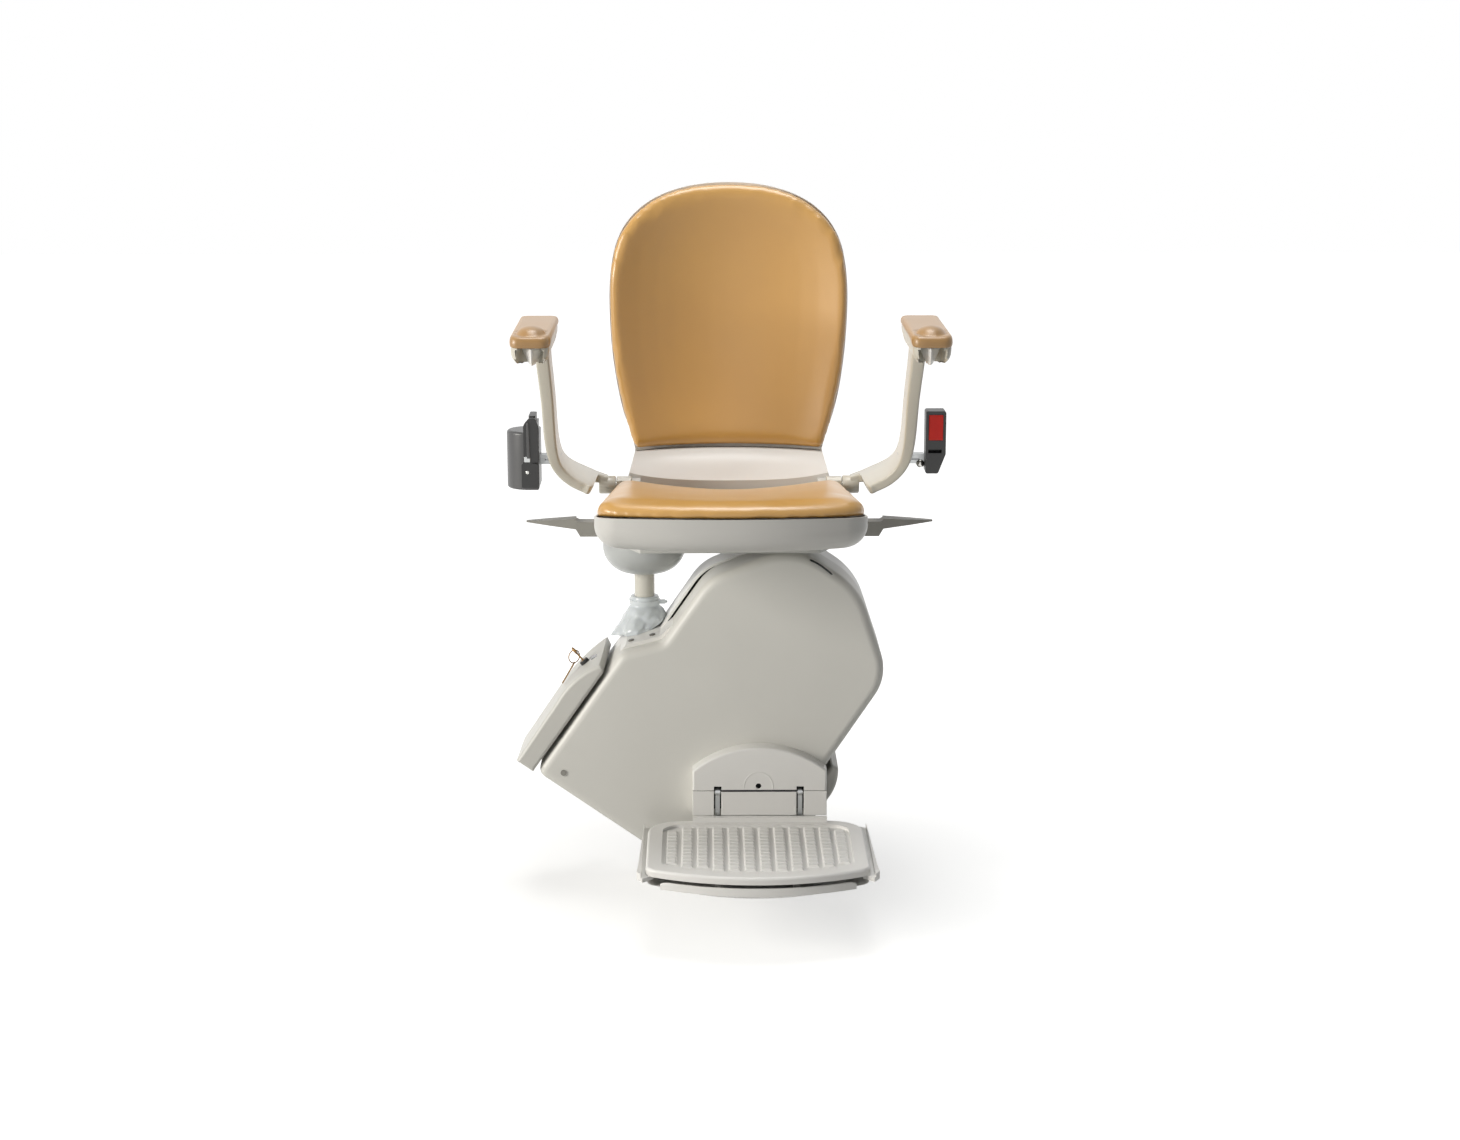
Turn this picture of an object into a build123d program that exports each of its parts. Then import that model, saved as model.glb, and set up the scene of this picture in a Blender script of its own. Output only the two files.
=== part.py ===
from build123d import *
from math import atan, cos, radians, sin
import os

os.makedirs("parts", exist_ok=True)

# Stairlift chair. Origin: centre of the rail channel at the carriage's mid-length.
# +X right as seen by someone facing the chair, +Y towards the wall, +Z up. Millimetres.
# The rail climbs to the left, so the "upper" pieces are on the left (-X) side.

# ---- driving dimensions -----------------------------------------------------------------------
rail_angle = 35.0            # pitch of the stairs
rail_height = 120.0          # section of the rail that the carriage runs on
rail_depth = 50.0

wall = 3.0                   # moulded covers
run_fit = 0.05               # radial clearance of a turning pin
screw_fit = 0.2              # radial clearance of a screw in its hole
slide_fit = 0.3              # between pieces that move past each other

carriage_left = -172.0       # along the rail, from the origin
carriage_right = 153.0
front_y = -165.0             # front cover's face
seam_y = -94.0               # where the front and rear covers meet
chassis_y = -40.0            # front face of the chassis plate
chassis_thick = 6.0
cover_edge_round = 12.0
dome_shift = 8.0             # how much wider the rear cover's dome is on its left

end_cover_thick = 29.5       # along the rail
end_cover_gap = 3.5
end_cover_travel = 3.0
end_cover_top = 75.0         # across the rail, at its front
end_cover_rise = 12.0        # how much higher its back edge is
end_cover_back_y = -42.0
low_cover_thick = 24.0
low_cover_front_y = -150.0
low_cover_top = 138.0
low_cover_bottom = -60.0
guide_pin_radius = 4.0
guide_pin_length = 16.0
guide_plate_thick = 2.5

roller_radius = 18.0
roller_cover_gap = 3.0       # from the lower rollers to the covers' bottom edge
roller_width = 24.0
roller_reach = 110.0         # along the rail, either side of the origin
axle_radius = 5.0
pinion_teeth = 12
gear_module = 2.5
shaft_radius = 6.0
axle_head = 8.0
axle_head_height = 5.0

post_x = -50.0
post_radius = 14.0
post_clear = 1.0             # round the post, where it passes other pieces
post_foot = 100.0
post_top = 322.0
bell_radius = 57.0
bell_bottom = 276.0
frame_bottom = 328.0         # underside of the seat frame
frame_plate = 6.0

seat_x = 67.0                # centre of the seat
seat_half_front = 178.0      # half widths of the seat pan
seat_half_rear = 161.0
seat_corner_y = -312.0
seat_rear_y = -52.0
seat_bow = 38.0              # how far the front edge bows forward of its corners
pan_bottom = 358.0
pan_front_rim = 405.0        # height of the pan's rim at the middle of the front
seat_slope = 6.6             # degrees, down towards the back
pan_edge_round = 28.0
seat_pad_thick = 20.0
seat_pad_wings = 20.0        # how much its rear corners rise above the middle, at the dish's edge
hinge_y = -38.0              # shared axis of the folding seat and arms
hinge_z = 393.0
hinge_pin_radius = 5.0
hinge_lug_inner = 122.0      # all from the seat's centre line
hinge_lug_width = 11.0
hinge_block_inner = 134.0
hinge_block_width = 21.0
arm_hub_inner = 156.0
arm_hub_width = 23.0
arm_hub_radius = 12.5

back_bottom = 431.0
back_pad_thick = 20.0
back_shell_thick = 13.0
back_curve_radius = 297.0    # of the back, seen from above
back_deep_y = 52.0           # front of the pad at its centre

arm_pad_top = 636.0
arm_pad_width = 52.0
arm_pad_front_y = -330.0
arm_pad_length = 220.0
arm_pad_centre = 253.0       # from the seat's centre line
arm_pad_thick = 10.0
arm_housing_height = 28.0
arm_engage = 5.0             # how far an arm reaches into its housing
toggle_turn = 15.0           # degrees either way
toggle_pin_radius = 2.5

lever_pivot = 152.0          # from the seat's centre line
lever_y = -110.0
lever_z = 345.0
lever_width = 24.0
lever_tip = 275.0
lever_root = 56.0            # from its pivot to the step where its blade starts

foot_hinge_y = -178.0
foot_hinge_z = -6.0
foot_pin_radius = 3.0
foot_eye_radius = 7.0
foot_arm_thick = 6.0
foot_arm_places = (50.0, 162.0)
foot_slot_width = 10.0
bracket_left = 16.0
bracket_right = 198.0
bracket_front_y = -190.0
bracket_side_top = 27.0
bracket_apex = 59.5
apron_bottom = -36.0
foot_left = -44.0
foot_right = 246.0
foot_top = -42.0
foot_corner_y = -392.0
foot_rear_y = -192.0
foot_bow = 38.0              # how far its front edge bows forward
foot_thick = 10.0
foot_rim = 20.0
foot_recess = 4.0
foot_frame_thick = 6.0
safety_gap = 6.0             # under the footrest's frame
safety_pan_depth = 17.0
safety_travel = 5.0
flap_reach = 10.0            # beside the footplate
flap_travel = 3.0

reel_width = 44.0
reel_offset = 1.0            # of its inner face, outward from the armrest's centre
reel_bottom = 408.0
reel_top = 497.0
reel_front_y = -160.0
reel_back_y = -100.0
belt_bracket_z = 444.0
buckle_bottom = 428.0
buckle_top = 512.0
buckle_width = 27.0
buckle_offset = 8.0          # of its inner face, outward from the armrest's centre
buckle_front_y = -150.0
buckle_back_y = -122.0
button_travel = 4.0

# ---- planes, points and helpers ---------------------------------------------------------------
along = (cos(radians(rail_angle)), 0, -sin(radians(rail_angle)))
across = (sin(radians(rail_angle)), 0, cos(radians(rail_angle)))
chassis_back_y = chassis_y + chassis_thick
carriage_bottom = -(rail_height / 2 + 2 * roller_radius + roller_cover_gap)
post_y = chassis_y - axle_head_height - post_clear - post_radius    # just clear of an axle's head
roller_v = rail_height / 2 + roller_radius
pinion_pitch = gear_module * pinion_teeth / 2
pinion_v = -(rail_height / 2 + pinion_pitch + gear_module)
arm_housing_bottom = arm_pad_top - arm_pad_thick - arm_housing_height
arm_top = arm_housing_bottom + arm_engage
reel_inner = arm_pad_centre + reel_offset
reel_outer = reel_inner + reel_width
buckle_inner = arm_pad_centre + buckle_offset
buckle_outer = buckle_inner + buckle_width
through = 200.0              # longer than any hole is deep
ledge_slope = 0.265
ledge_start = (-72.0, 186.3)


def rail_plane(y):
    """Upright plane at depth y whose local x runs down the rail; normal towards the front."""
    return Plane(origin=(0, y, 0), x_dir=along, z_dir=(0, -1, 0))


def front_plane(y):
    """Upright plane at depth y: local x is X, local y is Z, normal towards the front."""
    return Plane(origin=(0, y, 0), x_dir=(1, 0, 0), z_dir=(0, -1, 0))


def side_plane(x):
    """Upright plane at x: local x is Y, local y is Z, normal towards +X."""
    return Plane(origin=(x, 0, 0), x_dir=(0, 1, 0), z_dir=(1, 0, 0))


def rail_point(u, v):
    """World (x, z) of a point given along (u) and across (v) the rail."""
    return (u * along[0] + v * across[0], u * along[2] + v * across[2])


def rail_coords(x, z):
    """The same point the other way: how far along and across the rail it is."""
    return (x * along[0] + z * along[2], x * across[0] + z * across[2])


def ledge_height(x):
    """Height of the covers' shoulder, on which the seat post's boot stands."""
    return ledge_start[1] + (x - ledge_start[0]) * ledge_slope


def nearest(sketch, x, y):
    """Corner of a sketch nearest to a local point."""
    return sketch.vertices().sort_by_distance((x, y, 0))[0]


def finish(piece, name):
    """Label a finished piece and write it."""
    piece.part.label = name
    export_step(piece.part, f"parts/{name}.step")


# ---- carriage covers --------------------------------------------------------------------------
lower_side_head = (282.2, 150.3)


def cover_sketch(plane, shift, inset):
    """Outline of the carriage covers on a plane; shift widens the dome, inset is a wall."""
    corners = [
        (rail_point(carriage_left, carriage_bottom), 14.0),
        (rail_point(carriage_left, 104.5), 24.0),
        ((-24.2 - shift, ledge_height(-24.2 - shift)), 20.0),
        ((37.2 - shift, 286.5), 70.0),
        ((151.8, 332.3), 83.0),
        ((240.9, 274.4), 100.0),
        (lower_side_head, 66.0),
        (rail_point(carriage_right, carriage_bottom), 45.0),
    ]
    with BuildSketch(plane) as sketch:
        with BuildLine():
            Polyline(*[point for point, radius in corners], close=True)
        make_face()
        for point, radius in corners:
            fillet(nearest(sketch, *point), radius=radius)
        if inset > 0:
            offset(amount=-inset, mode=Mode.REPLACE)
    return sketch.sketch


rear_flange = 2.5            # what the rear cover bears on the chassis plate with
chassis_inset = 4.0          # of the chassis plate from the covers' outline
front_outline = cover_sketch(front_plane(seam_y), 0, 0)
front_hollow = cover_sketch(front_plane(seam_y), 0, wall)
rear_outline = cover_sketch(front_plane(chassis_y), dome_shift, 0)
rear_hollow = cover_sketch(front_plane(chassis_y), dome_shift, wall)
rear_window = cover_sketch(front_plane(chassis_y), dome_shift, wall + rear_flange)
chassis_outline = cover_sketch(front_plane(chassis_back_y), dome_shift, chassis_inset)
front_depth = seam_y - front_y
rear_depth = chassis_y - seam_y
screw_radius = 2.0
screw_head = 1.6
panel_screw = rail_point(-141.0, -77.0)

# the trim plate on the covers' shoulder, and the screws that hold it, square to the slope
shoulder_plate_thick = 5.0
shoulder_front_y = -140.0
shoulder_back_y = -24.0
shoulder_screws = ((-66.0, -124.0), (-37.0, -124.0))
shoulder_screw_length = 11.0
ledge_lean = atan(ledge_slope)


def shoulder_plane(x, y, height):
    """Plane square to the covers' shoulder, above the point of it at (x, y)."""
    normal = Vector(-sin(ledge_lean), 0, cos(ledge_lean))
    return Plane(origin=Vector(x, y, ledge_height(x)) + normal * height,
                 x_dir=(cos(ledge_lean), 0, sin(ledge_lean)), z_dir=normal)


screw_planes = [shoulder_plane(x, y, shoulder_plate_thick) for x, y in shoulder_screws]

# what the two covers fill, and what lies behind them at the same outline
with BuildPart() as covers_block:
    extrude(front_outline, amount=front_depth)
    extrude(rear_outline, amount=rear_depth)
    extrude(rear_outline, amount=-(chassis_thick + 14.0))

with BuildPart() as front_void:
    extrude(front_hollow, amount=front_depth - wall)
    fillet(front_void.edges().group_by(Axis.Y)[0], radius=cover_edge_round - wall)

with BuildPart() as front_cover:
    extrude(front_outline, amount=front_depth)
    fillet(front_cover.edges().group_by(Axis.Y)[0], radius=cover_edge_round)
    add(front_void.part, mode=Mode.SUBTRACT)
    with BuildSketch(front_plane(front_y + 2 * wall)):
        with Locations(panel_screw):
            Circle(screw_radius + screw_fit)
    extrude(amount=3 * wall, mode=Mode.SUBTRACT)
    with Locations(*screw_planes):
        Cylinder(screw_radius + screw_fit, 2 * shoulder_screw_length, mode=Mode.SUBTRACT)
finish(front_cover, "front_cover")

with BuildPart() as rear_cover:
    extrude(rear_outline, amount=rear_depth)
    extrude(rear_hollow, amount=rear_depth, mode=Mode.SUBTRACT)
    extrude(rear_outline, amount=wall)
    extrude(rear_window, amount=wall, mode=Mode.SUBTRACT)
    with Locations((post_x, post_y, post_foot)):
        Cylinder(post_radius + post_clear, through, align=(Align.CENTER, Align.CENTER, Align.MIN),
                 mode=Mode.SUBTRACT)
finish(rear_cover, "rear_cover")

plate_left = -83.0
plate_bend = -28.0
plate_right = -6.0
with BuildPart() as shoulder_plate:
    with BuildSketch(front_plane(shoulder_back_y)):
        with BuildLine():
            Polyline(
                (plate_left + 3.0, ledge_height(plate_left) - 10.0),
                (plate_bend + 6.0, ledge_height(plate_bend) - 6.0),
                (plate_right, 214.0),
                (plate_right - 4.0, 219.0),
                (plate_bend, ledge_height(plate_bend) + shoulder_plate_thick),
                (plate_left + 9.0, ledge_height(plate_left + 9.0) + shoulder_plate_thick),
                (plate_left, ledge_height(plate_left) - 3.0),
                close=True,
            )
        make_face()
    extrude(amount=shoulder_back_y - shoulder_front_y)
    add(covers_block.part, mode=Mode.SUBTRACT)
    with Locations((post_x, post_y, post_foot)):
        Cylinder(post_radius + post_clear, through, align=(Align.CENTER, Align.CENTER, Align.MIN),
                 mode=Mode.SUBTRACT)
    with Locations(*screw_planes):
        Cylinder(screw_radius + screw_fit, 2 * shoulder_screw_length, mode=Mode.SUBTRACT)
finish(shoulder_plate, "shoulder_plate")

# ---- chassis and what the covers hide ----------------------------------------------------------
battery_size = (150.0, 64.0, 92.0)
battery_places = ((56.0, 168.0), (18.0, 68.0))     # left edge and floor of each battery
shelf_thick = 3.0
battery_front_y = -158.0
battery_round = 4.0
terminal_size = (8.0, 10.0, 5.0)
terminal_shares = (0.12, 0.88)     # of the battery's width
gearbox_half = 40.0
gearbox_gap = 0.5            # above the rear cover's flange
gearbox_bottom_v = carriage_bottom + wall + rear_flange + gearbox_gap
gearbox_top_v = -24.0
gearbox_round = 8.0
gearbox_front_y = -122.0
motor_radius = 31.0
motor_length = 112.0
motor_v = -56.0
motor_y = -84.0
motor_flange = (4.0, 6.0)    # how far it stands out, and its thickness
motor_tail = (9.0, 8.0)      # radius and length of the shaft's end cap
motor_round = 6.0
bearing_seat = 12.0

axle_points = [(side * roller_reach, level * roller_v) for side in (-1, 1) for level in (1, -1)]

with BuildPart() as chassis_plate:
    extrude(chassis_outline, amount=chassis_thick)
    with BuildSketch(rail_plane(chassis_back_y)):
        with Locations(*axle_points):
            Circle(axle_radius + screw_fit)
        with Locations((0, pinion_v)):
            Circle(shaft_radius + post_clear)
    extrude(amount=chassis_thick, mode=Mode.SUBTRACT)
    for left, floor in battery_places:
        shelf_centre = (left + battery_size[0] / 2, (battery_front_y + chassis_y) / 2, floor)
        with Locations(shelf_centre):
            Box(battery_size[0], chassis_y - battery_front_y, shelf_thick,
                align=(Align.CENTER, Align.CENTER, Align.MAX))
finish(chassis_plate, "chassis_plate")

with BuildPart() as batteries:
    for left, floor in battery_places:
        with Locations((left + battery_size[0] / 2, battery_front_y, floor)):
            Box(*battery_size, align=(Align.CENTER, Align.MIN, Align.MIN))
    fillet(batteries.edges().filter_by(Axis.Z), radius=battery_round)
    for left, floor in battery_places:
        terminals_y = battery_front_y + battery_size[1] / 2
        with Locations(*[(left + battery_size[0] * share, terminals_y, floor + battery_size[2])
                         for share in terminal_shares]):
            Box(*terminal_size, align=(Align.CENTER, Align.CENTER, Align.MIN))
finish(batteries, "batteries")

with BuildPart() as gearbox:
    with BuildSketch(rail_plane(chassis_y)):
        with BuildLine():
            Polyline((-gearbox_half, gearbox_bottom_v), (gearbox_half, gearbox_bottom_v),
                     (gearbox_half, gearbox_top_v), (-gearbox_half, gearbox_top_v), close=True)
        make_face()
    extrude(amount=chassis_y - gearbox_front_y)
    fillet(gearbox.edges().filter_by(Axis.Y), radius=gearbox_round)
    with BuildSketch(rail_plane(chassis_y)):
        with Locations((0, pinion_v)):
            Circle(shaft_radius + run_fit)
    extrude(amount=bearing_seat, mode=Mode.SUBTRACT)
finish(gearbox, "gearbox")

motor_x, motor_z = rail_point(-gearbox_half, motor_v)
motor_plane = Plane(origin=(motor_x, motor_y, motor_z), x_dir=(0, 1, 0),
                    z_dir=(-along[0], 0, -along[2]))
with BuildPart() as drive_motor:
    with BuildSketch(motor_plane):
        Circle(motor_radius)
    extrude(amount=motor_length)
    fillet(drive_motor.faces().sort_by(Axis.X)[0].edges(), radius=motor_round)
    with BuildSketch(motor_plane.offset(motor_length)):
        Circle(motor_tail[0])
    extrude(amount=motor_tail[1])
    with BuildSketch(motor_plane):
        Circle(motor_radius + motor_flange[0])
    extrude(amount=motor_flange[1])
finish(drive_motor, "drive_motor")

board_width = 120.0
board_height = 62.0
board_standoff = 16.0
board_thick = 1.6
board_middle = (10.0, 28.0)  # along and across the rail
board_post = 3.0
chip_height = 12.0
with BuildPart() as control_board:
    with BuildSketch(rail_plane(chassis_y - board_standoff)):
        with Locations(board_middle):
            Rectangle(board_width, board_height)
    extrude(amount=board_thick)
    with BuildSketch(rail_plane(chassis_y)):
        with Locations(board_middle):
            with GridLocations(board_width - 10, board_height - 10, 2, 2):
                Circle(board_post)
    extrude(amount=board_standoff)
    with BuildSketch(rail_plane(chassis_y - board_standoff - board_thick)):
        with Locations((-20, 38), (25, 20)):
            Rectangle(22, 18)
        with Locations((48, 40), (-22, 12)):
            Rectangle(14, 26)
    extrude(amount=chip_height)
finish(control_board, "control_board")

socket_radius = 19.5
socket_length = 78.0
socket_foot_width = 64.0
socket_foot_height = 60.0
socket_floor = 6.0
with BuildPart() as post_socket:
    with Locations((post_x, post_y, post_foot)):
        Cylinder(socket_radius, socket_length, align=(Align.CENTER, Align.CENTER, Align.MIN))
        Box(socket_foot_width, chassis_y - post_y, socket_foot_height,
            align=(Align.CENTER, Align.MIN, Align.MIN))
    with Locations((post_x, post_y, post_foot + socket_floor)):
        Cylinder(post_radius + screw_fit, socket_length, mode=Mode.SUBTRACT,
                 align=(Align.CENTER, Align.CENTER, Align.MIN))
    with BuildSketch(rail_plane(chassis_y)):
        with Locations(axle_points[0]):
            Circle(axle_head + 2 * post_clear)
    extrude(amount=axle_head_height + post_clear, mode=Mode.SUBTRACT)
finish(post_socket, "post_socket")

with BuildPart() as seat_post:
    with Locations((post_x, post_y, post_foot + socket_floor)):
        Cylinder(post_radius, post_top - post_foot - socket_floor,
                 align=(Align.CENTER, Align.CENTER, Align.MIN))
    chamfer(seat_post.edges().group_by(Axis.Z)[-1], 1.5)
finish(seat_post, "seat_post")

# ---- boot and its clamp ------------------------------------------------------------------------
clamp_bottom = 229.0
clamp_height = 8.0
boot_top = 242.0
boot_neck = 19.0
clamp_thick = 2.5
boot_flare = 38.0            # radius at the foot
boot_flare_z = 196.0
boot_foot_z = 150.0          # below the covers, which cut the boot to their shoulder
with BuildPart() as gaiter:
    with BuildSketch(Plane(origin=(post_x, post_y, 0), x_dir=(1, 0, 0), z_dir=(0, -1, 0))):
        with BuildLine():
            Polyline((boot_neck, clamp_bottom), (boot_neck, boot_top),
                     (post_radius + slide_fit, boot_top),
                     (post_radius + slide_fit, boot_foot_z), (boot_flare, boot_foot_z),
                     (boot_flare, boot_flare_z))
            Spline((boot_flare, boot_flare_z), (34, 210), (24, 221), (boot_neck, clamp_bottom))
        make_face()
    revolve(axis=Axis((post_x, post_y, 0), (0, 0, 1)))
    with BuildSketch(front_plane(0)):
        with BuildLine():
            rest = shoulder_plate_thick
            Polyline((-130, ledge_height(-130) + rest), (30, ledge_height(30) + rest),
                     (30, 100), (-130, 100), close=True)
        make_face()
    extrude(amount=through, mode=Mode.SUBTRACT)
    add(covers_block.part, mode=Mode.SUBTRACT)
    add(shoulder_plate.part, mode=Mode.SUBTRACT)
finish(gaiter, "gaiter")

with BuildPart() as gaiter_clamp:
    with Locations((post_x, post_y, clamp_bottom + 1.5)):
        Cylinder(boot_neck + clamp_thick, clamp_height - 2,
                 align=(Align.CENTER, Align.CENTER, Align.MIN))
        Cylinder(boot_neck, clamp_height - 2, mode=Mode.SUBTRACT,
                 align=(Align.CENTER, Align.CENTER, Align.MIN))
    with Locations((post_x + boot_neck + clamp_thick + 3, post_y - 4, clamp_bottom + 4.5)):
        Box(9, 7, 5)
        Cylinder(1.8, 14, rotation=(0, 90, 0))
    with Locations((post_x, post_y, clamp_bottom - 5)):
        Cylinder(boot_neck, 20, mode=Mode.SUBTRACT,
                 align=(Align.CENTER, Align.CENTER, Align.MIN))
finish(gaiter_clamp, "gaiter_clamp")

with BuildPart() as cover_screws:
    with Locations(front_plane(front_y) * Pos(*panel_screw, 0)):
        Cylinder(2 * screw_radius, screw_head, align=(Align.CENTER, Align.CENTER, Align.MIN))
        Cylinder(screw_radius, 3 * wall, align=(Align.CENTER, Align.CENTER, Align.MAX))
    with Locations(*screw_planes):
        Cylinder(2 * screw_radius, screw_head, align=(Align.CENTER, Align.CENTER, Align.MIN))
        Cylinder(screw_radius, shoulder_screw_length,
                 align=(Align.CENTER, Align.CENTER, Align.MAX))
finish(cover_screws, "cover_screws")

# ---- rollers, axles and drive pinion -----------------------------------------------------------
axle_spacer = 7.5
front_of_roller = chassis_back_y + axle_spacer
axle_end_gap = 0.3
washer_thick = 3.0
with BuildPart() as roller_axles:
    head_y = chassis_y - axle_head_height
    end_y = front_of_roller + roller_width + 2 * axle_end_gap + washer_thick
    with BuildSketch(rail_plane(end_y)):
        with Locations(*axle_points):
            Circle(axle_radius)
    extrude(amount=end_y - head_y)
    with BuildSketch(rail_plane(chassis_y)):
        with Locations(*axle_points):
            RegularPolygon(axle_head, 6)
    extrude(amount=axle_head_height)
    with BuildSketch(rail_plane(front_of_roller)):
        with Locations(*axle_points):
            Circle(axle_head)
    extrude(amount=axle_spacer)
    with BuildSketch(rail_plane(end_y)):
        with Locations(*axle_points):
            Circle(axle_head)
    extrude(amount=washer_thick)
finish(roller_axles, "roller_axles")


def make_roller(u, v):
    """One nylon roller that runs on the rail's top or bottom edge."""
    with BuildPart() as roller:
        with BuildSketch(rail_plane(front_of_roller + axle_end_gap + roller_width)):
            with Locations((u, v)):
                Circle(roller_radius)
                Circle(axle_radius + run_fit, mode=Mode.SUBTRACT)
        extrude(amount=roller_width)
        chamfer(roller.edges().filter_by(GeomType.CIRCLE)
                .filter_by(lambda edge: edge.radius > 10), 1.5)
    return roller


roller_names = ("roller_upper_left", "roller_lower_left", "roller_upper_right",
                "roller_lower_right")
for name, (u, v) in zip(roller_names, axle_points):
    finish(make_roller(u, v), name)

pinion_outer = pinion_pitch + gear_module
pinion_root = pinion_pitch - 1.25 * gear_module
pinion_back_y = 2.0
pinion_width = 22.0
tooth_angle = 360 / pinion_teeth
with BuildPart() as drive_pinion:
    with BuildSketch(rail_plane(pinion_back_y)):
        with Locations((0, pinion_v)):
            Circle(pinion_root)
            with PolarLocations(pinion_root - 0.5, pinion_teeth):
                tip = pinion_outer - pinion_root + 0.5
                with Locations((tip / 2, 0)):
                    Trapezoid(gear_module * 2.1, tip, 76, rotation=-90)
    extrude(amount=pinion_width)
    with BuildSketch(rail_plane(pinion_back_y)):
        with Locations((0, pinion_v)):
            Circle(shaft_radius)
    extrude(amount=pinion_back_y - chassis_y + bearing_seat - slide_fit)
finish(drive_pinion, "drive_pinion")

# ---- end covers: sprung safety edges at both ends of the carriage -------------------------------
def surface_plane(u, v, y, out_u, out_v):
    """Plane on a cover's outside at (u, v, y); its normal points along (out_u, out_v)."""
    x, z = rail_point(u, v)
    normal = rail_point(out_u, out_v)
    return Plane(origin=(x, y, z), x_dir=(0, 1, 0), z_dir=(normal[0], 0, normal[1]))


def upper_end_sketch(y, rise, narrow, inset):
    """Profile of the upper end cover; inset draws its hollow, open towards the carriage."""
    inner = carriage_left - end_cover_gap + (10.0 if inset else 0.0)
    outer = carriage_left - end_cover_gap - end_cover_thick + narrow + inset
    top = end_cover_top + rise - inset
    bottom = carriage_bottom - 1.5 + inset
    shoulder_u = carriage_left - end_cover_gap - 11.0 + inset / 2
    with BuildSketch(rail_plane(y)) as sketch:
        with BuildLine():
            Polyline((shoulder_u, top), (inner, top - 6.0), (inner, bottom), (outer + 2, bottom),
                     (outer, 0.0))
            ThreePointArc((outer, 0.0), (outer + 4.5, top * 0.6), (shoulder_u, top))
        make_face()
    return sketch.sketch


guide_y = -105.0
upper_guides = (-60.0, 25.0)
lower_guides = (-30.0, 70.0)
boss_radius = 7.5
boss_start = 2.5             # clear of the guide plate when the cover is pushed home
lock_spot = (-198.8, 54.0)
window_spot = (-192.6, 68.0)
lock_radius = 6.5
plug_radius = 4.2
lock_proud = 3.5
lock_depth = 14.0
window_size = (13.0, 9.0, 3.0)
lock_plane = surface_plane(*lock_spot, guide_y, -0.97, 0.243)
window_plane = surface_plane(*window_spot, guide_y - 2.0, -0.88, 0.475)
upper_boss_plane = surface_plane(carriage_left - end_cover_gap - boss_start, 0, guide_y, -1, 0)
lower_boss_plane = surface_plane(carriage_right + end_cover_gap + boss_start, 0, guide_y, 1, 0)

with BuildPart() as upper_end_cover:
    loft([upper_end_sketch(front_y, 0, 0, 0),
          upper_end_sketch(end_cover_back_y, end_cover_rise, 4.0, 0)])
    fillet(upper_end_cover.edges().group_by(Axis.Y)[0].filter_by(
        lambda edge: edge.center().X < -130), radius=5.0)
    loft([upper_end_sketch(front_y + wall, 0.4, 0.1, wall),
          upper_end_sketch(end_cover_back_y - wall, end_cover_rise - 0.4, 3.9, wall)],
         mode=Mode.SUBTRACT)
    for v in upper_guides:
        plane = Plane(origin=upper_boss_plane.from_local_coords((0, 0, 0))
                      + Vector(v * across[0], 0, v * across[2]),
                      x_dir=(0, 1, 0), z_dir=upper_boss_plane.z_dir)
        with BuildSketch(plane):
            Circle(boss_radius)
        extrude(amount=end_cover_thick - wall - boss_start - 2)
        with BuildSketch(plane):
            Circle(guide_pin_radius + slide_fit)
        extrude(amount=guide_pin_length, mode=Mode.SUBTRACT)
    with BuildSketch(lock_plane.offset(-lock_depth)):
        Circle(lock_radius + run_fit)
    extrude(amount=2 * lock_depth, mode=Mode.SUBTRACT)
    with BuildSketch(window_plane.offset(-window_size[2])):
        Rectangle(window_size[0] + 2 * run_fit, window_size[1] + 2 * run_fit)
    extrude(amount=4 * window_size[2], mode=Mode.SUBTRACT)
finish(upper_end_cover, "upper_end_cover")

with BuildPart() as key_lock:
    with BuildSketch(lock_plane.offset(-lock_depth)):
        Circle(lock_radius)
        Circle(plug_radius + run_fit, mode=Mode.SUBTRACT)
    extrude(amount=lock_depth + lock_proud)
    chamfer(key_lock.edges().filter_by(GeomType.CIRCLE).sort_by_distance(
        lock_plane.from_local_coords((lock_radius, 0, lock_proud)))[0], 1.0)
finish(key_lock, "key_lock")

with BuildPart() as status_window:
    with BuildSketch(window_plane.offset(-window_size[2])):
        Rectangle(window_size[0], window_size[1])
    extrude(amount=window_size[2])
finish(status_window, "status_window")

key_bow_radius = 6.0
key_thick = 1.6
key_blade = 5.0
key_bow_centre = 20.5
key_hole = 22.0              # from the cover's surface, along the lock's axis
key_hole_radius = 3.2
lock_axis = lock_plane.z_dir
key_flat = lock_axis.cross(Vector(0, 1, 0))
key_plane = Plane(origin=lock_plane.origin - key_flat * (key_thick / 2), x_dir=(0, 1, 0),
                  z_dir=key_flat)
key_sign = 1 if key_plane.y_dir.dot(lock_axis) > 0 else -1
with BuildPart() as key:
    with BuildSketch(lock_plane.offset(-lock_depth + 1.0)):
        Circle(plug_radius)
    extrude(amount=lock_depth + lock_proud - 1.0)
    with BuildSketch(key_plane):
        with Locations((0, key_sign * key_bow_centre / 2)):
            Rectangle(key_blade, key_bow_centre)
        with Locations((0, key_sign * key_bow_centre)):
            Circle(key_bow_radius)
        with Locations((0, key_sign * key_hole)):
            Circle(key_hole_radius, mode=Mode.SUBTRACT)
    extrude(amount=key_thick)
finish(key, "key")

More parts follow.
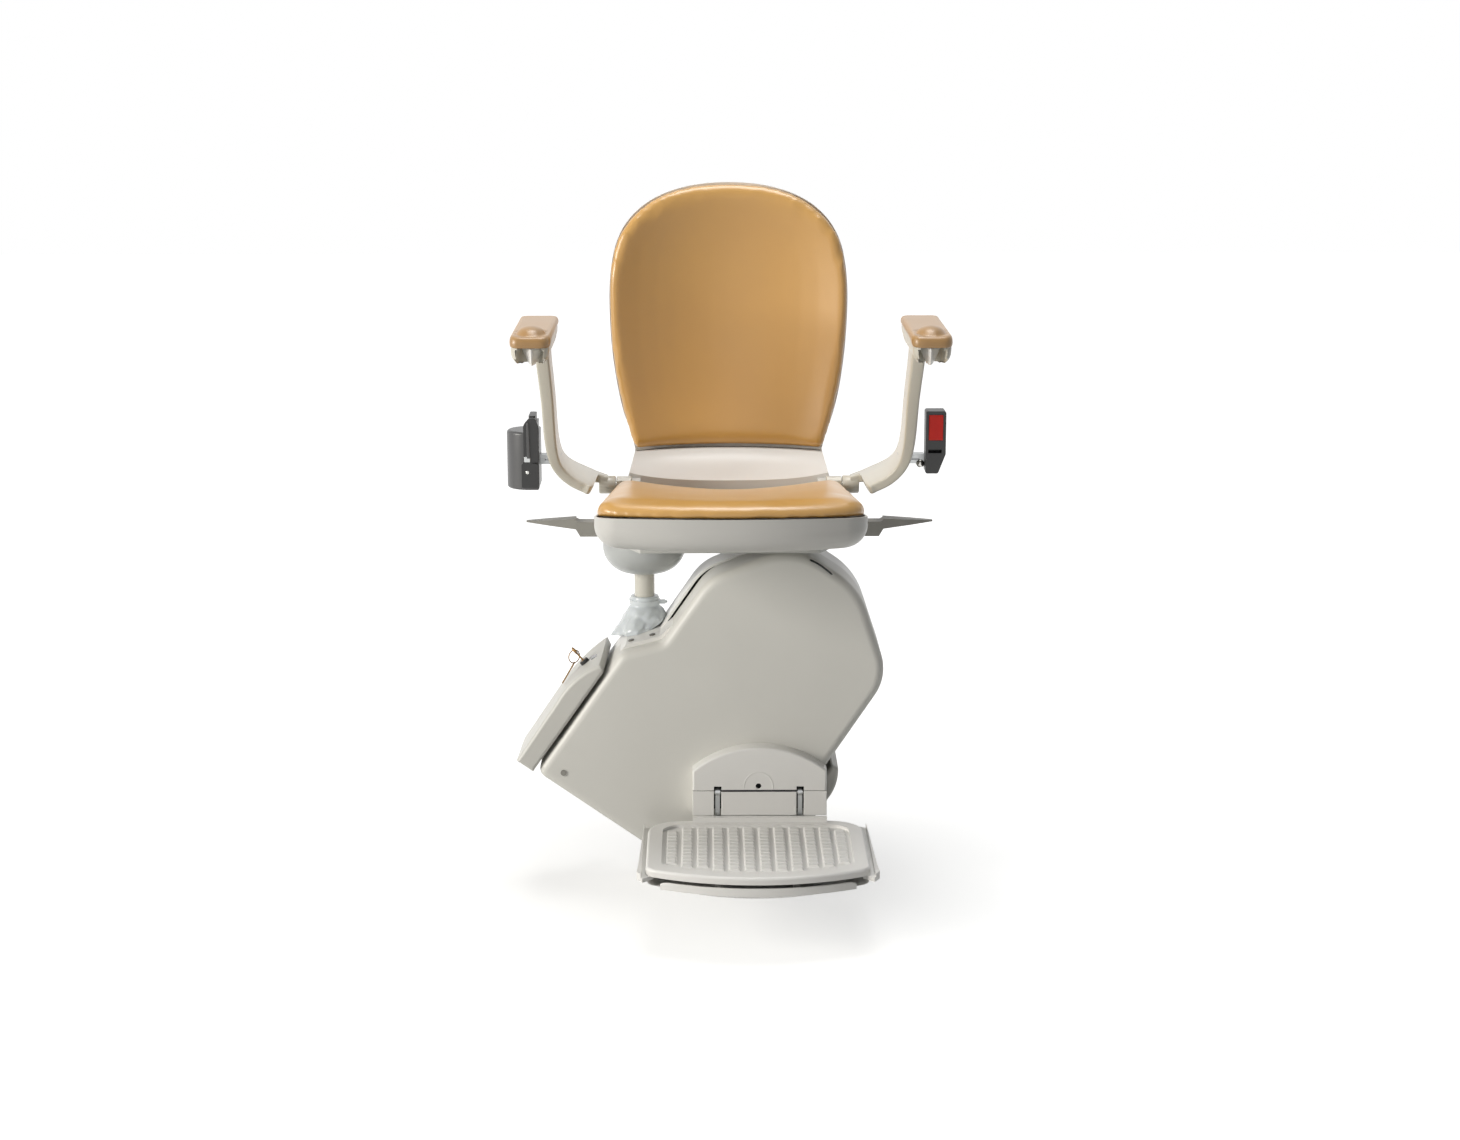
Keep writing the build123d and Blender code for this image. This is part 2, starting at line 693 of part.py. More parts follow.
ring_radius = 9.0
ring_wire = 0.7
ring_turn = radians(38.0)    # about the upright through its top, to clear the key's blade
spare_length = 33.0
spare_bow = 6.0
spare_lean = 30.0            # degrees from hanging straight down, away from the chair
hole_point = lock_plane.origin + lock_axis * key_hole
ring_centre = hole_point + Vector(0, 0, -ring_radius)
spare_top = ring_centre + Vector(0, 0, -ring_radius)
spare_plane = Plane(origin=spare_top, x_dir=(0, 1, 0),
                    z_dir=(cos(radians(spare_lean)), 0, -sin(radians(spare_lean))))
with BuildPart() as spare_key:
    ring_side = (cos(ring_turn), sin(ring_turn), 0)
    with BuildSketch(Plane(origin=ring_centre, x_dir=ring_side, z_dir=(0, 0, 1))):
        with Locations((ring_radius, 0)):
            Circle(ring_wire)
    revolve(axis=Axis(ring_centre, (-sin(ring_turn), cos(ring_turn), 0)))
    with BuildSketch(spare_plane.offset(-key_thick / 2)):
        with Locations((0, -spare_bow + 1.5)):
            Circle(spare_bow)
        with Locations((0, -spare_length / 2 - spare_bow / 2)):
            Rectangle(key_blade, spare_length - spare_bow)
    extrude(amount=key_thick)
finish(spare_key, "spare_key")


def lower_end_sketch(inset):
    """Profile of the lower end cover; inset draws its hollow, open towards the carriage."""
    inner = carriage_right + end_cover_gap - (10.0 if inset else 0.0)
    outer = carriage_right + end_cover_gap + low_cover_thick - inset
    with BuildSketch(rail_plane(end_cover_back_y - (wall if inset else 0.0))) as sketch:
        with BuildLine():
            Polyline((inner, low_cover_bottom + inset), (outer, low_cover_bottom + inset),
                     (outer, low_cover_top - 40.0))
            ThreePointArc((outer, low_cover_top - 40.0), (outer - 4.0, low_cover_top - 18.0),
                          (outer - 14.0 + inset / 2, low_cover_top - inset))
            Polyline((outer - 14.0 + inset / 2, low_cover_top - inset),
                     (inner, low_cover_top - inset), (inner, low_cover_bottom + inset))
        make_face()
    return sketch.sketch


low_cover_depth = end_cover_back_y - low_cover_front_y
with BuildPart() as lower_end_cover:
    extrude(lower_end_sketch(0.0), amount=low_cover_depth)
    fillet(lower_end_cover.edges().group_by(Axis.Y)[0].filter_by(
        lambda edge: edge.center().X > 150), radius=5.0)
    extrude(lower_end_sketch(wall), amount=low_cover_depth - 2 * wall, mode=Mode.SUBTRACT)
    for v in lower_guides:
        plane = Plane(origin=lower_boss_plane.origin + Vector(v * across[0], 0, v * across[2]),
                      x_dir=(0, 1, 0), z_dir=lower_boss_plane.z_dir)
        with BuildSketch(plane):
            Circle(boss_radius)
        extrude(amount=low_cover_thick - boss_start - 1)
        with BuildSketch(plane):
            Circle(guide_pin_radius + slide_fit)
        extrude(amount=guide_pin_length, mode=Mode.SUBTRACT)
finish(lower_end_cover, "lower_end_cover")

head_u, head_v = rail_coords(*lower_side_head)
side_lean = (head_u - carriage_right) / (head_v - carriage_bottom)
lower_plate_ends = (-45.0, 88.0)
lower_plate_edge = [carriage_right + (v - carriage_bottom) * side_lean for v in lower_plate_ends]
with BuildPart() as end_cover_guides:
    with BuildSketch(rail_plane(guide_y + 22)):
        with BuildLine():
            Polyline((carriage_left, -78), (carriage_left, 42),
                     (carriage_left - guide_plate_thick, 42),
                     (carriage_left - guide_plate_thick, -78), close=True)
        make_face()
        with BuildLine():
            Polyline((lower_plate_edge[0], lower_plate_ends[0]),
                     (lower_plate_edge[1], lower_plate_ends[1]),
                     (carriage_right + 1.5, lower_plate_ends[1]),
                     (carriage_right + 1.5, lower_plate_ends[0]), close=True)
        make_face()
    extrude(amount=44)
    for start, reach, places in ((carriage_left - 1, -1, upper_guides),
                                 (carriage_right + 1, 1, lower_guides)):
        for v in places:
            x, z = rail_point(start, v)
            with BuildSketch(Plane(origin=(x, guide_y, z), x_dir=(0, 1, 0),
                                   z_dir=(reach * along[0], 0, reach * along[2]))):
                Circle(guide_pin_radius)
            extrude(amount=guide_pin_length)
finish(end_cover_guides, "end_cover_guides")

# ---- footrest ----------------------------------------------------------------------------------
lug_thick = 5.0
lug_gap = 1.0                # between an arm and the lug beside it
lug_radius = 7.5
mount_right = 176.0
with BuildPart() as footrest_mount:
    with BuildSketch(front_plane(front_y)):
        with BuildLine():
            Polyline((bracket_left + 6, apron_bottom + 3), (mount_right, apron_bottom + 3),
                     (mount_right, bracket_side_top - 3), (bracket_left + 6, bracket_side_top - 3),
                     close=True)
        make_face()
    extrude(amount=wall)
    for centre in foot_arm_places:
        for side in (-1, 1):
            edge = centre + side * (foot_arm_thick / 2 + lug_gap)
            lug_start = edge if side > 0 else edge - lug_thick
            with BuildSketch(side_plane(lug_start)):
                with Locations((foot_hinge_y, foot_hinge_z)):
                    Circle(lug_radius)
                with BuildLine():
                    Polyline((foot_hinge_y, foot_hinge_z + lug_radius), (front_y, 12),
                             (front_y, -26), (foot_hinge_y, foot_hinge_z - lug_radius), close=True)
                make_face()
                with Locations((foot_hinge_y, foot_hinge_z)):
                    Circle(foot_pin_radius + run_fit, mode=Mode.SUBTRACT)
            extrude(amount=lug_thick)
finish(footrest_mount, "footrest_mount")

pin_half = foot_arm_thick / 2 + lug_gap + lug_thick
with BuildPart() as footrest_hinge_pins:
    for centre in foot_arm_places:
        with BuildSketch(side_plane(centre - pin_half)):
            with Locations((foot_hinge_y, foot_hinge_z)):
                Circle(foot_pin_radius)
        extrude(amount=2 * pin_half)
finish(footrest_hinge_pins, "footrest_hinge_pins")

bracket_seam = -1.0
with BuildPart() as footrest_arch_cover:
    with BuildSketch(front_plane(front_y)):
        with BuildLine():
            apex = ((bracket_left + bracket_right) / 2, bracket_apex)
            Polyline((bracket_left, bracket_side_top), (bracket_left, bracket_seam + 0.5),
                     (bracket_right, bracket_seam + 0.5), (bracket_right, bracket_side_top))
            ThreePointArc((bracket_right, bracket_side_top), apex, (bracket_left, bracket_side_top))
        make_face()
    extrude(amount=front_y - bracket_front_y)
    fillet(footrest_arch_cover.edges().group_by(Axis.Y)[0].filter_by(
        lambda edge: edge.center().Z > 5), radius=3.0)
    with BuildSketch(front_plane(front_y)):
        with BuildLine():
            apex = ((bracket_left + bracket_right) / 2, bracket_apex - wall)
            left = bracket_left + wall
            right = bracket_right - wall
            low = bracket_seam - 1.0
            Polyline((left, bracket_side_top - 2), (left, low), (right, low),
                     (right, bracket_side_top - 2))
            ThreePointArc((right, bracket_side_top - 2), apex, (left, bracket_side_top - 2))
        make_face()
    extrude(amount=front_y - bracket_front_y - wall, mode=Mode.SUBTRACT)
    with BuildSketch(front_plane(bracket_front_y + 2 * wall)):
        with Locations(*[(centre, 0) for centre in foot_arm_places]):
            Rectangle(foot_slot_width, 10)
        with Locations((105.4, 5.5)):
            Circle(3.8)
    extrude(amount=4 * wall, mode=Mode.SUBTRACT)
finish(footrest_arch_cover, "footrest_arch_cover")

apron_ribs = (78.0, 134.0, 174.5)   # they bear on the mount, behind the apron
apron_rib_height = 26.0
with BuildPart() as footrest_apron:
    with BuildSketch(front_plane(front_y)):
        with BuildLine():
            Polyline((bracket_left, apron_bottom), (bracket_left, bracket_seam - 0.5),
                     (bracket_right, bracket_seam - 0.5), (bracket_right, apron_bottom), close=True)
        make_face()
    extrude(amount=front_y - bracket_front_y)
    with BuildSketch(front_plane(front_y)):
        with BuildLine():
            Polyline((bracket_left + wall, apron_bottom - 1), (bracket_left + wall, 1),
                     (bracket_right - wall, 1), (bracket_right - wall, apron_bottom - 1),
                     close=True)
        make_face()
    extrude(amount=front_y - bracket_front_y - wall, mode=Mode.SUBTRACT)
    with BuildSketch(front_plane(bracket_front_y + 2 * wall)):
        with Locations(*[(centre, apron_bottom / 2) for centre in foot_arm_places]):
            Rectangle(foot_slot_width, -apron_bottom + 10)
    extrude(amount=4 * wall, mode=Mode.SUBTRACT)
    for rib_x in apron_ribs:
        with Locations((rib_x, front_y - wall, apron_bottom + wall)):
            Box(wall, front_y - bracket_front_y - 2 * wall + 1, apron_rib_height,
                align=(Align.CENTER, Align.MAX, Align.MIN))
finish(footrest_apron, "footrest_apron")

stud_radius = 2.5            # guide studs between the frame and the safety pan
stud_reach = 5.0
frame_top = foot_top - foot_thick
frame_low = frame_top - foot_frame_thick
foot_frame_front_y = -395.0
stud_places = [(x, y) for x in (foot_left + 95.0, foot_right - 95.0)
               for y in (foot_rear_y - 22.0, foot_frame_front_y + 18.0)]
arm_leg_back = foot_hinge_y + 6.0
arm_leg_front = foot_hinge_y - 6.0
with BuildPart() as footrest_frame:
    for centre in foot_arm_places:
        with BuildSketch(side_plane(centre - foot_arm_thick / 2)):
            with Locations((foot_hinge_y, foot_hinge_z)):
                Circle(foot_eye_radius)
            with BuildLine():
                Polyline((arm_leg_back, foot_hinge_z), (arm_leg_back, frame_low),
                         (foot_frame_front_y + 10, frame_low), (foot_frame_front_y + 10, frame_top),
                         (arm_leg_front, frame_top), (arm_leg_front, foot_hinge_z), close=True)
            make_face()
            with Locations((foot_hinge_y, foot_hinge_z)):
                Circle(foot_pin_radius + run_fit, mode=Mode.SUBTRACT)
        extrude(amount=foot_arm_thick)
    with BuildSketch(Plane.XY.offset(frame_low)):
        with BuildLine():
            Polyline((foot_left + 70, foot_frame_front_y), (foot_right - 70, foot_frame_front_y),
                     (foot_right - 60, foot_frame_front_y + 34),
                     (foot_left + 60, foot_frame_front_y + 34), close=True)
        make_face()
        with Locations(((foot_left + foot_right) / 2, foot_rear_y - 20)):
            Rectangle(150, 24)
    extrude(amount=foot_frame_thick)
    with Locations(*[(x, y, frame_low) for x, y in stud_places]):
        Cylinder(stud_radius, safety_gap + stud_reach,
                 align=(Align.CENTER, Align.CENTER, Align.MAX))
finish(footrest_frame, "footrest_frame")


def foot_outline(grow, rear_radius, front_radius):
    """Plan of the footplate, grown or shrunk, with its bowed front edge."""
    with BuildSketch(Plane.XY) as sketch:
        with BuildLine():
            left = foot_left - grow
            right = foot_right + grow
            front = foot_corner_y - grow
            rear = foot_rear_y + grow
            Polyline((left, front), (left, rear), (right, rear), (right, front))
            ThreePointArc((right, front), ((left + right) / 2, front - foot_bow), (left, front))
        make_face()
        for x in (left, right):
            fillet(nearest(sketch, x, rear), radius=rear_radius)
            fillet(nearest(sketch, x, front), radius=front_radius)
    return sketch.sketch


with BuildPart() as footplate:
    extrude(Pos(0, 0, frame_top) * foot_outline(0, 45.0, 20.0), amount=foot_thick)
    fillet(footplate.edges().group_by(Axis.Z)[-1], radius=4.0)
    extrude(Pos(0, 0, foot_top) * foot_outline(-foot_rim, 25.0, 10.0), amount=-foot_recess,
            mode=Mode.SUBTRACT)
    with Locations(((bracket_left + bracket_right) / 2, foot_rear_y, foot_top - foot_thick)):
        Box(bracket_right - bracket_left, 8, foot_thick + 6,
            align=(Align.CENTER, Align.MAX, Align.MIN))
finish(footplate, "footplate")

pan_top = frame_low - safety_gap
pan_floor = pan_top - safety_pan_depth
pan_floor_inset = 32.0
stud_boss_radius = 5.0
stud_boss_top = frame_low - safety_travel - 0.6
with BuildPart() as footrest_pan:
    loft([Pos(0, 0, pan_top) * foot_outline(-2.0, 40.0, 18.0),
          Pos(0, 0, pan_floor) * foot_outline(-pan_floor_inset, 20.0, 12.0)])
    loft([Pos(0, 0, pan_top + 0.01) * foot_outline(-2.0 - wall, 37.0, 15.0),
          Pos(0, 0, pan_floor + wall) * foot_outline(2.0 - pan_floor_inset, 20.0, 12.0)],
         mode=Mode.SUBTRACT)
    with Locations(*[(x, y, pan_floor + wall - 0.5) for x, y in stud_places]):
        Cylinder(stud_boss_radius, stud_boss_top - pan_floor - wall + 0.5,
                 align=(Align.CENTER, Align.CENTER, Align.MIN))
    with Locations(*[(x, y, stud_boss_top) for x, y in stud_places]):
        Cylinder(stud_radius + slide_fit, stud_reach + safety_travel + 1,
                 align=(Align.CENTER, Align.CENTER, Align.MAX), mode=Mode.SUBTRACT)
finish(footrest_pan, "footrest_pan")

# side flaps: sprung safety edges beside the footplate, each on two short guide pins
flap_front_y = -402.0
flap_back_y = -215.0
flap_gap = flap_travel + 1.0
flap_drop = 5.5
flap_rise = 5.0


def make_flap(side):
    """Wing-shaped flap on one side of the footplate; side is -1 (left) or 1 (right)."""
    edge = foot_right if side > 0 else foot_left
    near = edge + side * flap_gap * 0.25
    far = edge + side * flap_reach
    tuck = edge - side * 10.0
    low = frame_top - 0.4
    with BuildPart() as flap:
        with BuildSketch(Plane.XY.offset(low)):
            with BuildLine():
                Polyline((tuck, flap_back_y + 30), (far - side * 4, flap_back_y + 20),
                         (far, flap_front_y + 40), (far + side * 1.5, flap_front_y + 14),
                         (far - side * 6, flap_front_y), (tuck, flap_front_y + 14), close=True)
            make_face()
        extrude(amount=-flap_drop)
        with BuildSketch(Plane.XY.offset(low)):
            with BuildLine():
                Polyline((near + side * 4.2, flap_back_y + 26), (far - side * 4, flap_back_y + 20),
                         (far, flap_front_y + 40), (far + side * 1.5, flap_front_y + 14),
                         (far - side * 4, flap_front_y + 4), (near + side * 4.2, flap_front_y + 24),
                         close=True)
            make_face()
        extrude(amount=flap_rise)
    return flap


finish(make_flap(-1), "pan_flap_left")
finish(make_flap(1), "pan_flap_right")

# ---- swivel and seat frame ---------------------------------------------------------------------
hub_radius = 24.0
hub_bottom = 292.0
frame_half = 160.0
frame_front_y = -190.0
frame_rail_front_y = -150.0
frame_window = (120.0, 60.0, 20.0)    # width, depth and corner radius
frame_window_middle = (30.0, -115.0)  # from the seat's centre line, and in depth
rail_offset = 134.0          # of the frame's side rails, from the seat's centre line
rail_width = 12.0
rail_top = pan_bottom - 0.5
beam_front_y = -50.0
beam_back_y = -20.0
beam_top = 352.0
spine_pads = (560.0, 625.0)  # heights of the blocks that bear on the shell
spine_half = 30.0
spine_y = 91.0
spine_thick = 7.0
spine_top = 640.0

with BuildPart() as swivel_bearing:
    with Locations((post_x, post_y, hub_bottom)):
        Cylinder(hub_radius, frame_bottom - hub_bottom,
                 align=(Align.CENTER, Align.CENTER, Align.MIN))
        Cylinder(post_radius + run_fit, post_top + 0.3 - hub_bottom, mode=Mode.SUBTRACT,
                 align=(Align.CENTER, Align.CENTER, Align.MIN))
finish(swivel_bearing, "swivel_bearing")

with BuildPart() as swivel_cover:
    with BuildSketch(Plane(origin=(post_x, post_y, 0), x_dir=(1, 0, 0), z_dir=(0, -1, 0))):
        with BuildLine():
            Polyline((post_radius + 1.5, bell_bottom), (24, bell_bottom))
            Spline((24, bell_bottom), (42, 283), (53, 296), (bell_radius, 314))
            Polyline((bell_radius, 314), (bell_radius, frame_bottom),
                     (hub_radius + 0.5, frame_bottom), (hub_radius + 0.5, frame_bottom - wall),
                     (bell_radius - wall, frame_bottom - wall), (bell_radius - wall, 315))
            Spline((bell_radius - wall, 315), (50.5, 298), (40.5, 286), (23, bell_bottom + wall))
            Polyline((23, bell_bottom + wall), (post_radius + 1.5, bell_bottom + wall),
                     (post_radius + 1.5, bell_bottom))
        make_face()
    revolve(axis=Axis((post_x, post_y, 0), (0, 0, 1)))
finish(swivel_cover, "swivel_cover")

hinge_places = [side * (hinge_block_inner + hinge_block_width / 2) for side in (-1, 1)]

# the back: a shell bent about an upright axis in front of it, and its pad
back_axis_y = back_deep_y - back_curve_radius
pad_front = [(back_bottom, 40.0), (520.0, 52.0), (620.0, 56.0), (720.0, 54.0), (803.0, 43.0)]
scoop_front = [(-46.0, 396.5), (-12.0, 399.5), (12.0, 408.0), (28.0, 418.0), (38.0, 430.6)]
scoop_lip_y = -28.0
pad_outline = [
    (132.0, back_bottom), (147.0, 480.0), (160.0, 545.0), (166.0, 620.0), (163.0, 690.0),
    (147.5, 738.0), (115.0, 772.0), (70.0, 793.0), (0.0, 801.0),
]


def back_outline(plane, shrink, low):
    """Front view of the back, symmetrical about the seat's centre line."""
    right = [(seat_x + x - (shrink if x > 0 else 0), z - (shrink if z > 780 else 0))
             for x, z in pad_outline]
    left = [(2 * seat_x - x, z) for x, z in reversed(right)]
    with BuildSketch(plane) as sketch:
        with BuildLine():
            Spline(*(right + left[1:]), tangents=((0.25, 1.0), (0.25, -1.0)))
            if low:
                flare = 15.0
                Polyline(left[-1], (left[-1][0] - flare, low), (right[0][0] + flare, low), right[0])
            else:
                Line(left[-1], right[0])
        make_face()
    return sketch.sketch


def back_band(front_points, thickness):
    """Closed profile (in the centre plane) of a band that starts at the pad's front curve."""
    front = [(y, z) for z, y in front_points]
    rear = [(y + thickness, z) for y, z in reversed(front)]
    return front, rear


swing = 42.0
start_plane = Plane(origin=(seat_x, back_axis_y, 0),
                    x_dir=(sin(radians(swing)), cos(radians(swing)), 0),
                    z_dir=(cos(radians(swing)), -sin(radians(swing)), 0))

with BuildPart() as back_pad:
    front, rear = back_band(pad_front, back_pad_thick)
    with BuildSketch(start_plane):
        with BuildLine():
            Spline(*[(y - back_axis_y, z) for y, z in front])
            Line((front[-1][0] - back_axis_y, front[-1][1]), (rear[0][0] - back_axis_y, rear[0][1]))
            Spline(*[(y - back_axis_y, z) for y, z in rear])
            Line((rear[-1][0] - back_axis_y, rear[-1][1]), (front[0][0] - back_axis_y, front[0][1]))
        make_face()
    revolve(axis=Axis((seat_x, back_axis_y, 0), (0, 0, 1)), revolution_arc=2 * swing)
    extrude(back_outline(front_plane(150), 0.0, 0), amount=300, mode=Mode.INTERSECT)
finish(back_pad, "back_pad")

shell_rear = [(14.0, 386.0), (44.0, 398.0), (66.0, 420.0), (78.0, 460.0)]
with BuildPart() as back_shell:
    behind_pad = [(y + back_pad_thick, z) for z, y in pad_front]
    outside = [(y + back_pad_thick + back_shell_thick, z) for z, y in reversed(pad_front[1:])]
    with BuildSketch(start_plane):
        with BuildLine():
            Spline(*[(y - back_axis_y, z) for y, z in scoop_front])
            Polyline((scoop_front[-1][0] - back_axis_y, scoop_front[-1][1]),
                     (behind_pad[0][0] - back_axis_y, scoop_front[-1][1]),
                     (behind_pad[0][0] - back_axis_y, behind_pad[0][1]))
            Spline(*[(y - back_axis_y, z) for y, z in behind_pad])
            Line((behind_pad[-1][0] - back_axis_y, behind_pad[-1][1]),
                 (outside[0][0] - back_axis_y, outside[0][1]))
            Spline(*[(y - back_axis_y, z)
                     for y, z in outside + list(reversed(shell_rear)) + [(-46.0, 384.0)]])
            Line((-46.0 - back_axis_y, 384.0),
                 (scoop_front[0][0] - back_axis_y, scoop_front[0][1]))
        make_face()
    revolve(axis=Axis((seat_x, back_axis_y, 0), (0, 0, 1)), revolution_arc=2 * swing)
    extrude(back_outline(front_plane(150), 1.5, 380.0), amount=300, mode=Mode.INTERSECT)
    with Locations((seat_x, scoop_lip_y, 400)):
        Box(500, 300, 200, align=(Align.CENTER, Align.MAX, Align.CENTER), mode=Mode.SUBTRACT)
finish(back_shell, "back_shell")

block_top = 404.0
with BuildPart() as hinge_blocks:
    for place in hinge_places:
        with BuildSketch(side_plane(seat_x + place - hinge_block_width / 2)):
            with BuildLine():
                Polyline((beam_front_y + 1, beam_top), (beam_front_y + 1, block_top - 4),
                         (beam_front_y + 5, block_top), (scoop_lip_y - 4, block_top),
                         (scoop_lip_y - 0.5, block_top - 6), (scoop_lip_y - 0.5, beam_top),
                         close=True)
            make_face()
            with Locations((hinge_y, hinge_z)):
                Circle(hinge_pin_radius + run_fit, mode=Mode.SUBTRACT)
        extrude(amount=hinge_block_width)
finish(hinge_blocks, "hinge_blocks")

pin_inner = hinge_lug_inner
pin_outer = arm_hub_inner + arm_hub_width
with BuildPart() as hinge_pins:
    for side in (-1, 1):
        start = seat_x + (pin_inner if side > 0 else -pin_outer)
        with BuildSketch(side_plane(start)):
            with Locations((hinge_y, hinge_z)):
                Circle(hinge_pin_radius)
        extrude(amount=pin_outer - pin_inner)
finish(hinge_pins, "hinge_pins")

lever_lug = 3.5
lever_gap = 0.4
lever_pin_radius = 3.0
lever_eye = 8.0
with BuildPart() as seat_frame:
    with BuildSketch(Plane.XY.offset(frame_bottom)):
        with BuildLine():
            Polyline((seat_x - frame_half, beam_back_y), (seat_x - frame_half, -110),
                     (seat_x - frame_half + 40, frame_front_y),
                     (seat_x + frame_half - 40, frame_front_y),
                     (seat_x + frame_half, -110), (seat_x + frame_half, beam_back_y), close=True)
        make_face()
        with Locations((seat_x + frame_window_middle[0], frame_window_middle[1])):
            RectangleRounded(*frame_window, mode=Mode.SUBTRACT)
    extrude(amount=frame_plate)
    with Locations((seat_x, beam_front_y, frame_bottom)):
        Box(2 * frame_half, beam_back_y - beam_front_y, beam_top - frame_bottom,
            align=(Align.CENTER, Align.MIN, Align.MIN))
    for side in (-1, 1):
        with Locations((seat_x + side * rail_offset, frame_rail_front_y, frame_bottom)):
            Box(rail_width, beam_front_y - frame_rail_front_y, rail_top - frame_bottom,
                align=(Align.CENTER, Align.MIN, Align.MIN))
        for end in (-1, 1):
            inside = seat_x + side * (rail_offset + rail_width / 2 - 1)
            outside_x = seat_x + side * (lever_pivot + 7)
            lug_y = lever_y + end * (lever_width / 2 + lever_gap + lever_lug / 2)
            with Locations(((inside + outside_x) / 2, lug_y, frame_bottom)):
                Box(abs(outside_x - inside), lever_lug, lever_z + 7 - frame_bottom,
                    align=(Align.CENTER, Align.CENTER, Align.MIN))
        with BuildSketch(front_plane(lever_y + lever_width / 2 + lever_gap + lever_lug)):
            with Locations((seat_x + side * lever_pivot, lever_z)):
                Circle(lever_pin_radius)
        extrude(amount=lever_width + 2 * (lever_gap + lever_lug))
    with BuildSketch(side_plane(seat_x - spine_half)):
        with BuildLine():
            Polyline((beam_back_y - 5, frame_bottom),
                     (beam_back_y - 5, frame_bottom + frame_plate + 4),
                     (spine_y, frame_bottom + frame_plate + 4), (spine_y, spine_top),
                     (spine_y + spine_thick, spine_top), (spine_y + spine_thick, frame_bottom),
                     close=True)
        make_face()
    extrude(amount=2 * spine_half)
    for height in spine_pads:
        with Locations((seat_x, spine_y + 1, height)):
            Box(40, 14, 18, align=(Align.CENTER, Align.MAX, Align.CENTER))
    add(back_shell.part, mode=Mode.SUBTRACT)
finish(seat_frame, "seat_frame")

# ---- folding seat ------------------------------------------------------------------------------
slope = radians(seat_slope)
rim_normal = (0, sin(slope), cos(slope))
rim_plane = Plane(origin=(seat_x, seat_corner_y - seat_bow, pan_front_rim), x_dir=(1, 0, 0),
                  z_dir=rim_normal)


def seat_outline(plane, inset, front_radius, rear_radius, depth):
    """Plan of the seat on a plane whose origin is at the middle of the front edge."""
    bow = seat_bow
    with BuildSketch(plane) as sketch:
        with BuildLine():
            half_front = seat_half_front - inset
            half_rear = seat_half_rear - inset
            corner = bow + inset
            rear = bow + depth - inset
            Polyline((-half_front, corner), (-half_rear, rear), (half_rear, rear),
                     (half_front, corner))
            ThreePointArc((half_front, corner), (0, inset), (-half_front, corner))
        make_face()
        for x in (-half_front, half_front):
            fillet(nearest(sketch, x, corner), radius=front_radius)
        for x in (-half_rear, half_rear):
            fillet(nearest(sketch, x, rear), radius=rear_radius)
    return sketch.sketch


floor_plane = Plane(origin=(seat_x, seat_corner_y - seat_bow, pan_bottom), x_dir=(1, 0, 0),
                    z_dir=(0, 0, 1))
tall = 60.0
lug_end_radius = 9.0
lug_back_y = seat_rear_y + 0.5
rear_undercut = 4.7          # the rounded floor's rear rim lies this far inside its outline
pan_depth = seat_rear_y - seat_corner_y + rear_undercut
with BuildPart() as seat_hollow:
    extrude(seat_outline(floor_plane.offset(wall), wall, 39.0, 31.0, pan_depth), amount=tall)
    fillet(seat_hollow.edges().group_by(Axis.Z)[0], radius=pan_edge_round - wall)

with BuildPart() as seat_pan:
    extrude(seat_outline(floor_plane, 0.0, 42.0, 34.0, pan_depth), amount=tall)
    fillet(seat_pan.edges().group_by(Axis.Z)[0], radius=pan_edge_round)
    add(seat_hollow.part, mode=Mode.SUBTRACT)
    split(bisect_by=rim_plane, keep=Keep.BOTTOM)
    for side in (-1, 1):
        start = seat_x + side * hinge_lug_inner - (0 if side > 0 else hinge_lug_width)
        with BuildSketch(side_plane(start)):
            with Locations((hinge_y, hinge_z)):
                Circle(lug_end_radius)
            with BuildLine():
                Polyline((hinge_y, hinge_z + lug_end_radius), (lug_back_y, hinge_z + 4),
                         (lug_back_y, pan_bottom + 12), (seat_rear_y - 3.5, pan_bottom + 10.5),
                         (seat_rear_y - 7.5, pan_bottom + 6), (seat_rear_y - 4, pan_bottom + 1),
                         (hinge_y + 5, hinge_z - lug_end_radius + 1.5), close=True)
            make_face()
            with Locations((hinge_y, hinge_z)):
                Circle(hinge_pin_radius + run_fit, mode=Mode.SUBTRACT)
        extrude(amount=hinge_lug_width)
finish(seat_pan, "seat_pan")

pad_inset = 1.5              # of the pad from the pan's outline
pad_edge_round = 7.0
dish_half = 180.0            # the dish's half width, over the pad's sides
dish_margin = 10.0           # before and behind the pad
pad_back_gap = 3.0           # its rear leans back as it rises, and clears the pan's lugs
pad_depth = (seat_rear_y - seat_corner_y) / cos(slope) - pad_back_gap


def dish_sketch(back, wings):
    """Section of what is left out above the pad; back is the distance from its front edge."""
    plane = Plane(origin=rim_plane.from_local_coords((0, back, 0)), x_dir=(1, 0, 0),
                  z_dir=rim_plane.y_dir)
    turned = -1 if plane.y_dir.dot(rim_plane.z_dir) < 0 else 1
    side = turned * (seat_pad_thick + wings)
    top = turned * (seat_pad_thick + seat_pad_wings + dish_margin)
    with BuildSketch(plane) as sketch:
        with BuildLine():
            Spline((-dish_half, side), (0, turned * seat_pad_thick), (dish_half, side))
            Polyline((dish_half, side), (dish_half, top), (-dish_half, top), (-dish_half, side))
        make_face()
    return sketch.sketch


